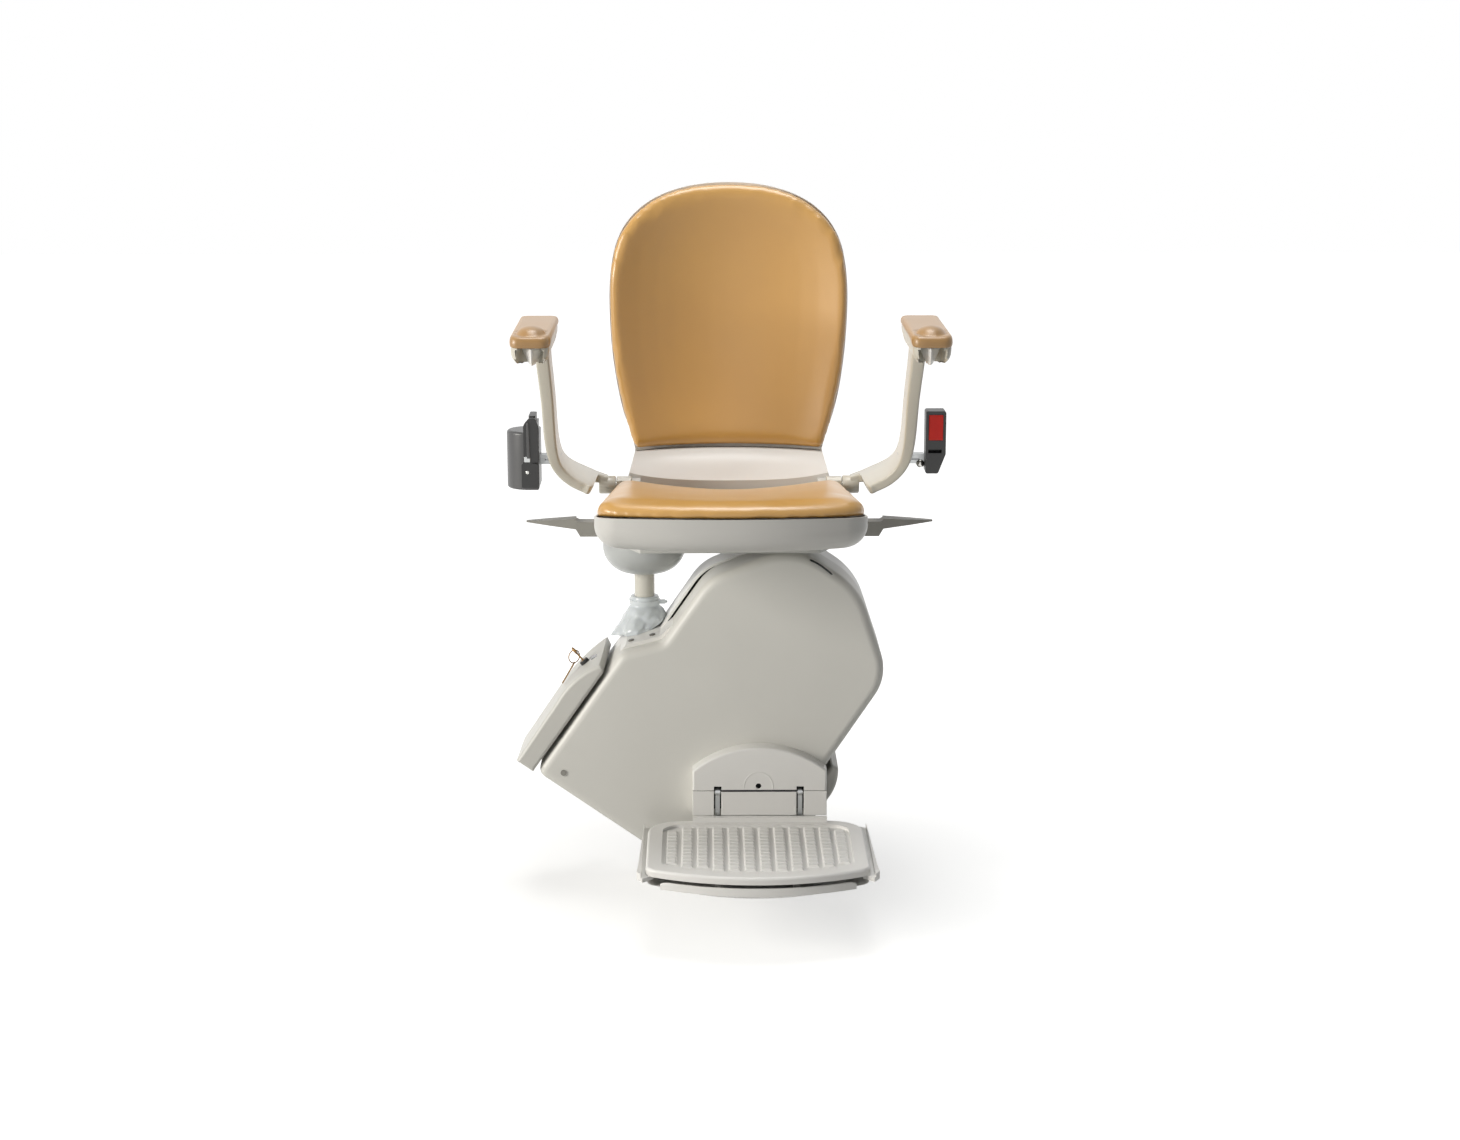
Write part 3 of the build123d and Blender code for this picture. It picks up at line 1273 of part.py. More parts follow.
with BuildPart() as seat_pad:
    extrude(seat_outline(rim_plane, pad_inset, 40.0, 24.0, pad_depth),
            amount=seat_pad_thick + seat_pad_wings)
    loft([dish_sketch(-dish_margin, 0.0),
          dish_sketch(seat_bow + pad_depth + dish_margin, seat_pad_wings)], mode=Mode.SUBTRACT)
    upwards = Axis(rim_plane.origin, rim_plane.z_dir)
    rim_low = seat_pad.faces().sort_by(upwards)[0].edges()
    upright = seat_pad.edges().filter_by(upwards)
    fillet([edge for edge in seat_pad.edges() if edge not in rim_low and edge not in upright],
           radius=pad_edge_round)
finish(seat_pad, "seat_pad")

# ---- swivel levers -----------------------------------------------------------------------------


def make_lever(side):
    """One of the paddles under the seat that free the swivel; side is -1 (left) or 1."""
    with BuildPart() as lever:
        with BuildSketch(front_plane(lever_y + lever_width / 2)):
            with BuildLine():
                eye = seat_x + side * lever_pivot
                root = seat_x + side * (lever_pivot + lever_root)
                tip = seat_x + side * lever_tip
                Polyline((eye, lever_z - lever_eye), (root - side * 6, lever_z - lever_eye),
                         (root, lever_z + 2), (root + side * 4, lever_z + 16),
                         (root - side * 4, lever_z + 12), (root - side * 30, lever_z + 12),
                         (eye, lever_z + lever_eye), close=True)
            make_face()
            with Locations((eye, lever_z)):
                Circle(lever_eye)
            with BuildLine():
                Polyline((root - side, lever_z + 2), (tip, lever_z + 10.5),
                         (tip, lever_z + 12.5), (root, lever_z + 16), close=True)
            make_face()
            with Locations((eye, lever_z)):
                Circle(lever_pin_radius + run_fit, mode=Mode.SUBTRACT)
        extrude(amount=lever_width)
        with BuildSketch(Plane.XY.offset(lever_z - 20)):
            with BuildLine():
                half = lever_width / 2
                Polyline((eye - side * 12, lever_y - half), (root, lever_y - half),
                         (tip - side * 30, lever_y - half * 0.7), (tip, lever_y - 3),
                         (tip, lever_y + 3), (tip - side * 30, lever_y + half * 0.7),
                         (root, lever_y + half), (eye - side * 12, lever_y + half), close=True)
            make_face()
        extrude(amount=40, mode=Mode.INTERSECT)
    return lever


finish(make_lever(-1), "lever_left")
finish(make_lever(1), "lever_right")

# ---- arms --------------------------------------------------------------------------------------
# front view of an arm's faces, from the seat's centre line: the blade hangs under the armrest's
# centre, and bends inwards to its hub below the elbow
elbow_z = 448.0
blade_mid_z = elbow_z + 0.561 * (arm_top - elbow_z)
blade_low_z = elbow_z + 0.1935 * (arm_top - elbow_z)
arm_outer = [(arm_pad_centre - 0.5, arm_top), (arm_pad_centre - 5.5, blade_mid_z),
             (arm_pad_centre - 8.0, blade_low_z), (arm_pad_centre - 12.5, elbow_z),
             (arm_pad_centre - 24.0, 427.0), (214.0, 413.0), (197.0, 404.0), (178.0, 398.0)]
arm_inner = [(178.0, 410.5), (195.0, 416.5), (209.0, 425.5), (arm_pad_centre - 32.0, 438.0),
             (arm_pad_centre - 25.5, elbow_z + 4.0), (arm_pad_centre - 23.5, blade_low_z),
             (arm_pad_centre - 22.0, blade_mid_z), (arm_pad_centre - 18.5, arm_top)]
arm_side = [(-236.0, arm_top + 9.0), (-172.0, arm_top + 9.0), (-128.0, 500.0), (-72.0, 440.0),
            (-24.0, 411.0), (-24.0, 392.0), (-60.0, 385.0), (-150.0, 385.0), (-160.0, 430.0),
            (-200.0, 520.0)]
seat_side_gap = 3.0


def make_arm(side):
    """Curved blade that carries an armrest; side is -1 (left) or 1 (right)."""
    with BuildPart() as arm:
        with BuildSketch(front_plane(0)):
            with BuildLine():
                outer = [(seat_x + side * x, z) for x, z in arm_outer]
                inner = [(seat_x + side * x, z) for x, z in arm_inner]
                near = seat_x + side * (arm_hub_inner + 2.0)
                Spline(*outer)
                Polyline(outer[-1], (near, outer[-1][1] - 2.0), (near, inner[0][1] - 2.0), inner[0])
                Spline(*inner)
                Line(inner[-1], outer[0])
            make_face()
        extrude(amount=300)
        with BuildSketch(side_plane(seat_x - 400)):
            with BuildLine():
                Polyline(*arm_side, close=True)
            make_face()
        extrude(amount=800, mode=Mode.INTERSECT)
        with Locations((seat_x + side * (seat_half_front + seat_side_gap), seat_rear_y + 0.8, 400)):
            Box(80, 400, 100, mode=Mode.SUBTRACT,
                align=(Align.MIN if side < 0 else Align.MAX, Align.MAX, Align.CENTER))
        hub_start = arm_hub_inner if side > 0 else -(arm_hub_inner + arm_hub_width)
        with BuildSketch(side_plane(seat_x + hub_start)):
            with Locations((hinge_y, hinge_z)):
                Circle(arm_hub_radius)
        extrude(amount=arm_hub_width)
        with BuildSketch(side_plane(seat_x + hub_start - 1)):
            with Locations((hinge_y, hinge_z)):
                Circle(hinge_pin_radius + run_fit)
        extrude(amount=arm_hub_width + 2, mode=Mode.SUBTRACT)
    return arm


arm_left = make_arm(-1)
arm_right = make_arm(1)
finish(arm_left, "arm_left")
finish(arm_right, "arm_right")

arm_pad_back_y = arm_pad_front_y + arm_pad_length
cap_bottom = arm_pad_top - arm_pad_thick
toggle_y = arm_pad_front_y + 26.0
toggle_offset = arm_pad_centre - 2.0
toggle_gap = 0.5
toggle_hub = 14.0            # radius of the toggle's body and half width of its fin's top
toggle_front_gap = 2.0
toggle_reach = toggle_y - arm_pad_front_y - toggle_front_gap
toggle_pocket = (toggle_hub * cos(radians(toggle_turn)) + toggle_reach * sin(radians(toggle_turn))
                 + toggle_gap)
housing_inset = 2.0
toggle_roof = 2.5            # of the housing, over the toggle's pocket
toggle_top = cap_bottom - toggle_roof - toggle_gap
toggle_pin_length = 17.0


def arm_rect(side, z, inset, radius):
    """Rounded rectangle of an armrest's plan at height z."""
    with BuildSketch(Plane.XY.offset(z)) as sketch:
        with Locations((seat_x + side * arm_pad_centre, (arm_pad_front_y + arm_pad_back_y) / 2)):
            RectangleRounded(arm_pad_width - 2 * inset, arm_pad_length - 2 * inset, radius)
    return sketch.sketch


def make_housing(side, arm):
    """Moulded body under an armrest, with the toggle's pocket at its front."""
    x = seat_x + side * toggle_offset
    with BuildPart() as housing:
        extrude(arm_rect(side, arm_housing_bottom, housing_inset, 10.0),
                amount=cap_bottom - arm_housing_bottom)
        with BuildSketch(side_plane(seat_x - 400)):
            with BuildLine():
                Polyline((arm_pad_back_y - 2, arm_housing_bottom + 14),
                         (arm_pad_back_y - 30, arm_housing_bottom - 1), (0, arm_housing_bottom - 1),
                         close=True)
            make_face()
        extrude(amount=800, mode=Mode.SUBTRACT)
        with Locations((x, toggle_y, arm_housing_bottom - 1)):
            Cylinder(toggle_pocket, cap_bottom - toggle_roof - arm_housing_bottom + 1,
                     align=(Align.CENTER, Align.CENTER, Align.MIN), mode=Mode.SUBTRACT)
            Box(2 * toggle_pocket, 60, cap_bottom - toggle_roof - arm_housing_bottom + 1,
                align=(Align.CENTER, Align.MAX, Align.MIN), mode=Mode.SUBTRACT)
        with Locations((x, toggle_y, toggle_top - toggle_pin_length)):
            Cylinder(toggle_pin_radius, toggle_pin_length + toggle_gap + 1,
                     align=(Align.CENTER, Align.CENTER, Align.MIN))
        add(arm.part, mode=Mode.SUBTRACT)
    return housing


def make_arm_pad(side):
    """Padded cap of an armrest."""
    with BuildPart() as pad:
        extrude(arm_rect(side, cap_bottom, 0.0, 12.0), amount=arm_pad_thick)
        fillet(pad.faces().sort_by(Axis.Z)[-1].edges(), radius=6.0)
    return pad


def make_toggle(side):
    """Sprung call switch that hangs in the front of an armrest and turns either way."""
    x = seat_x + side * toggle_offset
    low = arm_housing_bottom + 4
    with BuildPart() as toggle:
        with Locations((x, toggle_y, low + 3)):
            Cylinder(toggle_hub, toggle_top - low - 3,
                     align=(Align.CENTER, Align.CENTER, Align.MIN))
        with BuildSketch(front_plane(toggle_y)):
            with BuildLine():
                Polyline((x - toggle_hub, toggle_top), (x + toggle_hub, toggle_top), (x + 5, low),
                         (x - 5, low), close=True)
            make_face()
        extrude(amount=toggle_reach)
        with Locations((x, toggle_y, toggle_top - toggle_pin_length - slide_fit)):
            Cylinder(toggle_pin_radius + run_fit, 40, mode=Mode.SUBTRACT,
                     align=(Align.CENTER, Align.CENTER, Align.MIN))
    return toggle


for side, arm, name in ((-1, arm_left, "left"), (1, arm_right, "right")):
    finish(make_housing(side, arm), f"armrest_housing_{name}")
    finish(make_arm_pad(side), f"armrest_pad_{name}")
    finish(make_toggle(side), f"toggle_{name}")

# ---- lap belt ----------------------------------------------------------------------------------
bar_thick = 5.0
bar_gap = 2.5
bar_start = arm_pad_centre - 27.0   # inside the arm's blade, which cuts the bars to length
bracket_y = -118.0
bracket_depth = 18.0


def make_belt_bracket(side, near, arm):
    """Two stacked bars between an arm's outside and the belt part that they hold."""
    with BuildPart() as bracket:
        for level in (-1, 1):
            height = belt_bracket_z + level * (bar_thick + bar_gap) / 2
            with Locations((seat_x + side * (near + bar_start) / 2, bracket_y, height)):
                Box(near - bar_start, bracket_depth, bar_thick)
        with Locations((seat_x + side * (near - 3.0), bracket_y, belt_bracket_z)):
            Box(6, bracket_depth, 2 * bar_thick + bar_gap)
        add(arm.part, mode=Mode.SUBTRACT)
    return bracket


reel_bracket = make_belt_bracket(-1, reel_inner, arm_left)
finish(reel_bracket, "reel_bracket")

reel_round = 30.0
mouth_height = 22.0
mouth_offset = 9.0           # of the belt's slot, from the reel's inner face
reel_y = (reel_front_y + reel_back_y) / 2
tongue_thick = 2.0
with BuildPart() as belt_reel:
    with BuildSketch(Plane.XY.offset(reel_bottom)):
        with BuildLine():
            left = seat_x - reel_outer
            right = seat_x - reel_inner
            Line((right, reel_back_y), (left + reel_round, reel_back_y))
            ThreePointArc((left + reel_round, reel_back_y), (left, reel_y),
                          (left + reel_round, reel_front_y))
            Polyline((left + reel_round, reel_front_y), (right, reel_front_y), (right, reel_back_y))
        make_face()
    extrude(amount=reel_top - mouth_height / 2 - reel_bottom)
    fillet(belt_reel.edges().group_by(Axis.Z)[-1], radius=4.0)
    fillet(belt_reel.edges().group_by(Axis.Z)[0], radius=3.0)
    with Locations((right - mouth_offset, reel_y, reel_top - mouth_height - 8)):
        Box(14, 46, mouth_height + 8, align=(Align.CENTER, Align.CENTER, Align.MIN))
    with Locations((right - mouth_offset, reel_y, reel_top + 1)):
        Box(tongue_thick + 2.4, 34, 36, align=(Align.CENTER, Align.CENTER, Align.MAX),
            mode=Mode.SUBTRACT)
finish(belt_reel, "belt_reel")

with BuildPart() as belt_tongue:
    with Locations((right - mouth_offset, reel_y, reel_top - 34.9)):
        Box(tongue_thick, 32, 40, align=(Align.CENTER, Align.CENTER, Align.MIN))
    with Locations((right - mouth_offset, reel_y, reel_top + 0.5)):
        Box(9, 40, 9, align=(Align.CENTER, Align.CENTER, Align.MIN))
    fillet(belt_tongue.edges().filter_by(Axis.Z).filter_by(
        lambda edge: edge.center().Z > reel_top), radius=2.5)
finish(belt_tongue, "belt_tongue")

buckle_bracket = make_belt_bracket(1, buckle_inner, arm_right)
finish(buckle_bracket, "buckle_bracket")

button_width = 19.0
button_height = 34.0
button_margin = 5.0
pocket_depth = 14.0
buckle_x = seat_x + (buckle_inner + buckle_outer) / 2
with BuildPart() as buckle_body:
    with BuildSketch(front_plane(buckle_back_y)):
        with BuildLine():
            left = seat_x + buckle_inner
            right = seat_x + buckle_outer
            Polyline((left, buckle_bottom), (left, buckle_top), (right, buckle_top),
                     (right, buckle_bottom + 26), (right - 10, buckle_bottom), close=True)
        make_face()
    extrude(amount=buckle_back_y - buckle_front_y)
    fillet(buckle_body.edges().filter_by(Axis.Y), radius=3.0)
    button_z = buckle_top - button_margin - button_height / 2
    with BuildSketch(front_plane(buckle_front_y)):
        with Locations((buckle_x, button_z)):
            Rectangle(button_width + 2 * slide_fit, button_height + 2 * slide_fit)
    extrude(amount=-pocket_depth, mode=Mode.SUBTRACT)
    with BuildSketch(front_plane(buckle_front_y)):
        with Locations((buckle_x - 1, buckle_bottom + 30)):
            Rectangle(18, 5)
    extrude(amount=-20.0, mode=Mode.SUBTRACT)
finish(buckle_body, "buckle_body")

with BuildPart() as buckle_button:
    with BuildSketch(front_plane(buckle_front_y + pocket_depth - button_travel - 1.0)):
        with Locations((buckle_x, button_z)):
            Rectangle(button_width, button_height)
    extrude(amount=pocket_depth - button_travel - 1.0 + 1.0)
    fillet(buckle_button.edges().group_by(Axis.Y)[0], radius=1.0)
finish(buckle_button, "buckle_button")
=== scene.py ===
# %% [markdown]
# # A stairlift chair
# This lesson dresses it: finishes for the moulded and metal parts, and new meshes for what is soft or
# softly shaped.

# %% Load the frame
import bmesh
import bpy
from math import cos, exp, pi, radians, sin, sqrt
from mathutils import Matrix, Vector, noise


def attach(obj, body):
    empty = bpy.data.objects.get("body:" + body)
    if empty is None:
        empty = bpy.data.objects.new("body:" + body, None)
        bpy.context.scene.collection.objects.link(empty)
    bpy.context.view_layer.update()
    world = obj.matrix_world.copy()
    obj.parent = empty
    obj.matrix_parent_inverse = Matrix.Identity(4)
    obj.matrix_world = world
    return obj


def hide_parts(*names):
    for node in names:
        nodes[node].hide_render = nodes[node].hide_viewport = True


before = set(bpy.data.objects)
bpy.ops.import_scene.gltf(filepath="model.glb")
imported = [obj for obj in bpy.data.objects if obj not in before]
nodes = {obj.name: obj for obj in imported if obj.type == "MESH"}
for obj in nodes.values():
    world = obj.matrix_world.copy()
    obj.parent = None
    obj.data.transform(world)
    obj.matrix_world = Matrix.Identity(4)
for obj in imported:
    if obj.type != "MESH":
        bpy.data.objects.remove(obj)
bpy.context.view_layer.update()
MM = 0.001
print("pieces in the frame:", len(nodes))

# %% [markdown]
# The picture was taken from a little above the seat, almost square on. A long lens far away keeps
# the armrests nearly parallel, so the camera is 3.5 m off and looks 12.4 degrees down.

# %% Camera
IMAGE_WIDTH = 1460
FOCAL_PX = 2612.0
SENSOR = 36.0
AIM = Vector((0.067, -0.165, 0.300))
DISTANCE = 3.5
TURN, PITCH = radians(-0.6), radians(12.4)
look = Vector((-sin(TURN) * cos(PITCH), cos(TURN) * cos(PITCH), -sin(PITCH)))
camera = bpy.data.objects.new("camera", bpy.data.cameras.new("camera"))
camera.data.sensor_width = SENSOR
camera.data.lens = FOCAL_PX * SENSOR / IMAGE_WIDTH
camera.location = AIM - look * DISTANCE
camera.rotation_euler = look.to_track_quat("-Z", "Y").to_euler()
bpy.context.scene.collection.objects.link(camera)
bpy.context.scene.camera = camera
bpy.context.scene.view_settings.view_transform = "Standard"
print("lens", round(camera.data.lens, 1), "mm")

# %% [markdown]
# Every finish is a node tree, so helpers do the typing: one turns a hex colour, as a paint chart gives
# it, into the linear light that the renderer counts in, and one adds a node with its settings. Others
# make what no surface lacks: a colour and a gloss that drift a little over it, and a fine relief. Noise
# stays well inside the ranges below, so no part of the drift is clipped into a flat spot.

# %% Colour and node helpers
COLOUR_LOW, COLOUR_HIGH = 0.15, 0.85
GLOSS_LOW, GLOSS_HIGH = 0.1, 0.9


def linear(hex_colour):
    """sRGB hex to a linear RGBA tuple."""
    channels = [int(hex_colour[i:i + 2], 16) / 255 for i in (1, 3, 5)]
    return tuple(c / 12.92 if c <= 0.04045 else ((c + 0.055) / 1.055) ** 2.4 for c in channels) + (1.0,)


def add_node(tree, kind, settings=None, inputs=None):
    """Adds a node; inputs maps a socket's name or number to a value or to another node's output."""
    node = tree.nodes.new(kind)
    for key, value in (settings or {}).items():
        setattr(node, key, value)
    for key, value in (inputs or {}).items():
        if isinstance(value, bpy.types.NodeSocket):
            tree.links.new(value, node.inputs[key])
        else:
            node.inputs[key].default_value = value
    return node


def new_finish(name):
    """An empty material with its tree, its shader and the coordinate that patterns follow."""
    material = bpy.data.materials.new(name)
    material.use_nodes = True
    tree = material.node_tree
    shader = next(n for n in tree.nodes if n.type == "BSDF_PRINCIPLED")
    place = add_node(tree, "ShaderNodeTexCoord").outputs["Object"]
    return material, tree, shader, place


def mottle(tree, place, first, second, patch_mm):
    """A colour that drifts between two hex values over patches of a real size."""
    drift = add_node(tree, "ShaderNodeTexNoise", inputs={"Vector": place, "Scale": 1000 / patch_mm,
                                                         "Detail": 3.0})
    ramp = add_node(tree, "ShaderNodeValToRGB", inputs={"Fac": drift.outputs["Fac"]})
    for stop, position, colour in zip(ramp.color_ramp.elements, (COLOUR_LOW, COLOUR_HIGH), (first, second)):
        stop.position, stop.color = position, linear(colour)
    return ramp.outputs["Color"]


def roughened(tree, place, low, high, patch_mm):
    """A roughness that wanders between two values."""
    drift = add_node(tree, "ShaderNodeTexNoise", inputs={"Vector": place, "Scale": 1000 / patch_mm})
    spread = add_node(tree, "ShaderNodeMapRange",
                      inputs={"Value": drift.outputs["Fac"], "From Min": GLOSS_LOW,
                              "From Max": GLOSS_HIGH, "To Min": low, "To Max": high})
    return spread.outputs["Result"]


def bumped(tree, height, depth_mm, strength):
    """A bump from a height field."""
    return add_node(tree, "ShaderNodeBump", inputs={"Height": height, "Distance": depth_mm * MM,
                                                    "Strength": strength}).outputs["Normal"]


# %% [markdown]
# The covers are ABS, injection moulded and left with a satin skin. It is nearly even, but the flow of
# the melt leaves faint cloudiness and an orange-peel of about a millimetre that softens its highlights.

# %% Moulded ABS
PEEL_MM, PEEL_DEPTH, PEEL_STRENGTH = 1.4, 0.05, 0.25
ABS_IOR = 1.53


def moulded_abs(name, light, dark, rough, coat=0.0):
    """Satin ABS, from a light to a slightly darker tone."""
    material, tree, shader, place = new_finish(name)
    tree.links.new(mottle(tree, place, dark, light, 90.0), shader.inputs["Base Color"])
    tree.links.new(roughened(tree, place, rough - 0.04, rough + 0.05, 40.0), shader.inputs["Roughness"])
    peel = add_node(tree, "ShaderNodeTexNoise", inputs={"Vector": place, "Scale": 1000 / PEEL_MM})
    tree.links.new(bumped(tree, peel.outputs["Fac"], PEEL_DEPTH, PEEL_STRENGTH), shader.inputs["Normal"])
    shader.inputs["IOR"].default_value = ABS_IOR
    shader.inputs["Coat Weight"].default_value = coat
    shader.inputs["Coat Roughness"].default_value = 0.25
    return material


panel_abs = moulded_abs("panel_abs", "#DDDCD6", "#D9D8D2", 0.42)
# Painted shade: the end covers are the same ABS as the front cover, in a darker copy that stands for the
# shade on them
end_abs_painted_shade = moulded_abs("end_abs_painted_shade", "#D0CFC9", "#CBCAC4", 0.4)
white_abs = moulded_abs("white_abs", "#EDECE9", "#E9E8E5", 0.34)
seat_abs = moulded_abs("seat_abs", "#D0CFCB", "#CBCAC6", 0.36)
arm_abs = moulded_abs("arm_abs", "#D0CCBF", "#CBC7BA", 0.32, coat=0.2)
lever_abs = moulded_abs("lever_abs", "#95938C", "#8E8C85", 0.4)
cool_abs = moulded_abs("cool_abs", "#B4B7B6", "#AFB2B1", 0.3, coat=0.3)
# Black ABS for the real black parts; the same finish colours the strips of painted shade in gaps and slots
black_abs_and_painted_shade = moulded_abs("black_abs_and_painted_shade", "#232323", "#1C1C1C", 0.36)
reel_abs = moulded_abs("reel_abs", "#4A4A4B", "#424243", 0.34, coat=0.2)
red_abs = moulded_abs("red_abs", "#FF2A1C", "#F42416", 0.5)
smoked_abs = moulded_abs("smoked_abs", "#5A5B59", "#505150", 0.2, coat=0.5)
nylon = moulded_abs("cast_nylon", "#E8E5DA", "#E0DDD0", 0.5)
board_green = moulded_abs("circuit_board", "#1E5A34", "#194E2D", 0.45)

# %% [markdown]
# The upholstery is caramel vinyl: a PVC skin embossed with a fine leather grain of about a millimetre
# and a half, on foam. The grain breaks the gloss up, which is why its highlights are wide and warm.

# %% Embossed vinyl
GRAIN_MM, CREASE_MM = 1.6, 5.0
GRAIN_DEPTH, GRAIN_STRENGTH = 0.12, 0.14
VINYL_IOR = 1.5


def embossed_vinyl(name, light, dark, rough):
    """Vinyl with a pebbled grain."""
    material, tree, shader, place = new_finish(name)
    tree.links.new(mottle(tree, place, dark, light, 120.0), shader.inputs["Base Color"])
    pebbles = add_node(tree, "ShaderNodeTexVoronoi", inputs={"Vector": place, "Scale": 1000 / GRAIN_MM})
    creases = add_node(tree, "ShaderNodeTexNoise", inputs={"Vector": place, "Scale": 1000 / CREASE_MM})
    both = add_node(tree, "ShaderNodeMath", {"operation": "ADD"},
                    {0: pebbles.outputs["Distance"], 1: creases.outputs["Fac"]})
    tree.links.new(bumped(tree, both.outputs[0], GRAIN_DEPTH, GRAIN_STRENGTH), shader.inputs["Normal"])
    tree.links.new(roughened(tree, place, rough - 0.05, rough + 0.06, 60.0), shader.inputs["Roughness"])
    shader.inputs["IOR"].default_value = VINYL_IOR
    shader.inputs["Coat Weight"].default_value = 0.8
    shader.inputs["Coat Roughness"].default_value = 0.34
    return material


caramel_vinyl = embossed_vinyl("caramel_vinyl", "#CC9D52", "#C5954A", 0.32)
caramel_foam = embossed_vinyl("caramel_foam", "#A67E46", "#9F773F", 0.42)

# %% [markdown]
# The boot round the post is soft PVC, dipped rather than moulded, so it is glossier and bluer than
# the ABS and lets a little light in. Its folds are real geometry, further down.

# %% Dipped boot vinyl
boot_vinyl, boot_tree, boot_shader, boot_place = new_finish("dipped_vinyl")
boot_tree.links.new(mottle(boot_tree, boot_place, "#CDD4D8", "#D6DCDF", 30.0),
                    boot_shader.inputs["Base Color"])
boot_shader.inputs["Roughness"].default_value = 0.22
boot_shader.inputs["Subsurface Weight"].default_value = 0.15
boot_shader.inputs["Subsurface Radius"].default_value = (0.004, 0.004, 0.005)
boot_shader.inputs["Coat Weight"].default_value = 0.5
boot_shader.inputs["Coat Roughness"].default_value = 0.12

# %% [markdown]
# Metals keep the shader's own IOR and are all metallic. Zinc plating has a spangled, cloudy roughness,
# and turned pins a finer one. The post is enamelled and the frame under the seat is powder coated,
# which are paints, not metals, and so they share the plastics' recipe.

# %% Metals and paint
SCRATCH_MM, SCRATCH_DEPTH, SCRATCH_STRENGTH = 0.8, 0.02, 0.3


def plated(name, colour, low, high, patch_mm):
    """Bare or plated metal with a cloudy roughness."""
    material, tree, shader, place = new_finish(name)
    shader.inputs["Base Color"].default_value = linear(colour)
    tree.links.new(roughened(tree, place, low, high, patch_mm), shader.inputs["Roughness"])
    scratches = add_node(tree, "ShaderNodeTexNoise", inputs={"Vector": place, "Scale": 1000 / SCRATCH_MM,
                                                             "Detail": 4.0})
    tree.links.new(bumped(tree, scratches.outputs["Fac"], SCRATCH_DEPTH, SCRATCH_STRENGTH),
                   shader.inputs["Normal"])
    shader.inputs["Metallic"].default_value = 1.0
    return material


zinc = plated("zinc_plate", "#B9BBBB", 0.28, 0.5, 6.0)
turned_steel = plated("turned_steel", "#C9C8C4", 0.18, 0.32, 3.0)
screw_steel = plated("screw_steel", "#74726C", 0.3, 0.5, 3.0)
worn_brass = plated("worn_brass", "#8A6A3C", 0.3, 0.55, 2.0)
dark_paint = moulded_abs("dark_powder_coat", "#3B3D3F", "#343638", 0.5)
frame_paint = moulded_abs("frame_powder_coat", "#C4C4BF", "#BDBDB8", 0.42)
post_paint = moulded_abs("post_enamel", "#CFCCC2", "#C9C6BB", 0.25, coat=0.3)

# %% [markdown]
# Each frame piece gets its finish here. The list of pairs reads like a parts list.

# %% Finishes of the frame's own pieces
FINISHES = {
    panel_abs: ["front_cover"],
    end_abs_painted_shade: ["upper_end_cover", "lower_end_cover"],
    white_abs: ["rear_cover", "shoulder_plate", "footrest_arch_cover", "footrest_apron", "footplate",
                "footrest_pan", "pan_flap_left", "pan_flap_right", "back_shell"],
    seat_abs: ["seat_pan"],
    arm_abs: ["arm_left", "arm_right", "armrest_housing_left", "armrest_housing_right", "toggle_left",
              "toggle_right", "hinge_blocks"],
    lever_abs: ["lever_left", "lever_right"],
    cool_abs: ["swivel_cover"],
    boot_vinyl: ["gaiter", "gaiter_clamp"],
    caramel_vinyl: ["back_pad", "seat_pad"],
    caramel_foam: ["armrest_pad_left", "armrest_pad_right"],
    black_abs_and_painted_shade: ["key_lock", "belt_tongue", "buckle_body", "batteries"],
    reel_abs: ["belt_reel"],
    red_abs: ["buckle_button"],
    smoked_abs: ["status_window"],
    nylon: ["roller_upper_left", "roller_lower_left", "roller_upper_right", "roller_lower_right"],
    board_green: ["control_board"],
    zinc: ["footrest_frame", "reel_bracket", "buckle_bracket", "gearbox"],
    screw_steel: ["cover_screws"],
    turned_steel: ["roller_axles", "drive_pinion", "hinge_pins", "footrest_hinge_pins",
                   "swivel_bearing"],
    worn_brass: ["key", "spare_key"],
    dark_paint: ["chassis_plate", "drive_motor", "post_socket", "end_cover_guides", "footrest_mount"],
    frame_paint: ["seat_frame"],
    post_paint: ["seat_post"],
}
for finish, names in FINISHES.items():
    for name in names:
        nodes[name].data.materials.clear()
        nodes[name].data.materials.append(finish)
print("finished:", sum(len(names) for names in FINISHES.values()))

# %% [markdown]
# New shapes are built from rings: closed loops of points with the same count, joined ring to ring. It
# is how a boatbuilder lofts a hull, and it gives clean quads that take smooth shading well.

# %% Mesh helpers (all sizes in millimetres)
WELD = 0.01 * MM
SIDES = ((-1, "left"), (1, "right"))


def piece_from(name, points, faces, finish, sharp=35.0):
    """A mesh object from points in millimetres, smooth but for edges sharper than an angle."""
    mesh = bpy.data.meshes.new(name)
    mesh.from_pydata([Vector(p) * MM for p in points], [], faces)
    mesh.validate()
    outward = bmesh.new()
    outward.from_mesh(mesh)
    bmesh.ops.remove_doubles(outward, verts=outward.verts, dist=WELD)
    bmesh.ops.recalc_face_normals(outward, faces=outward.faces)
    outward.to_mesh(mesh)
    outward.free()
    mesh.shade_smooth()
    mesh.set_sharp_from_angle(angle=radians(sharp))
    mesh.materials.append(finish)
    piece = bpy.data.objects.new(name, mesh)
    bpy.context.scene.collection.objects.link(piece)
    return piece


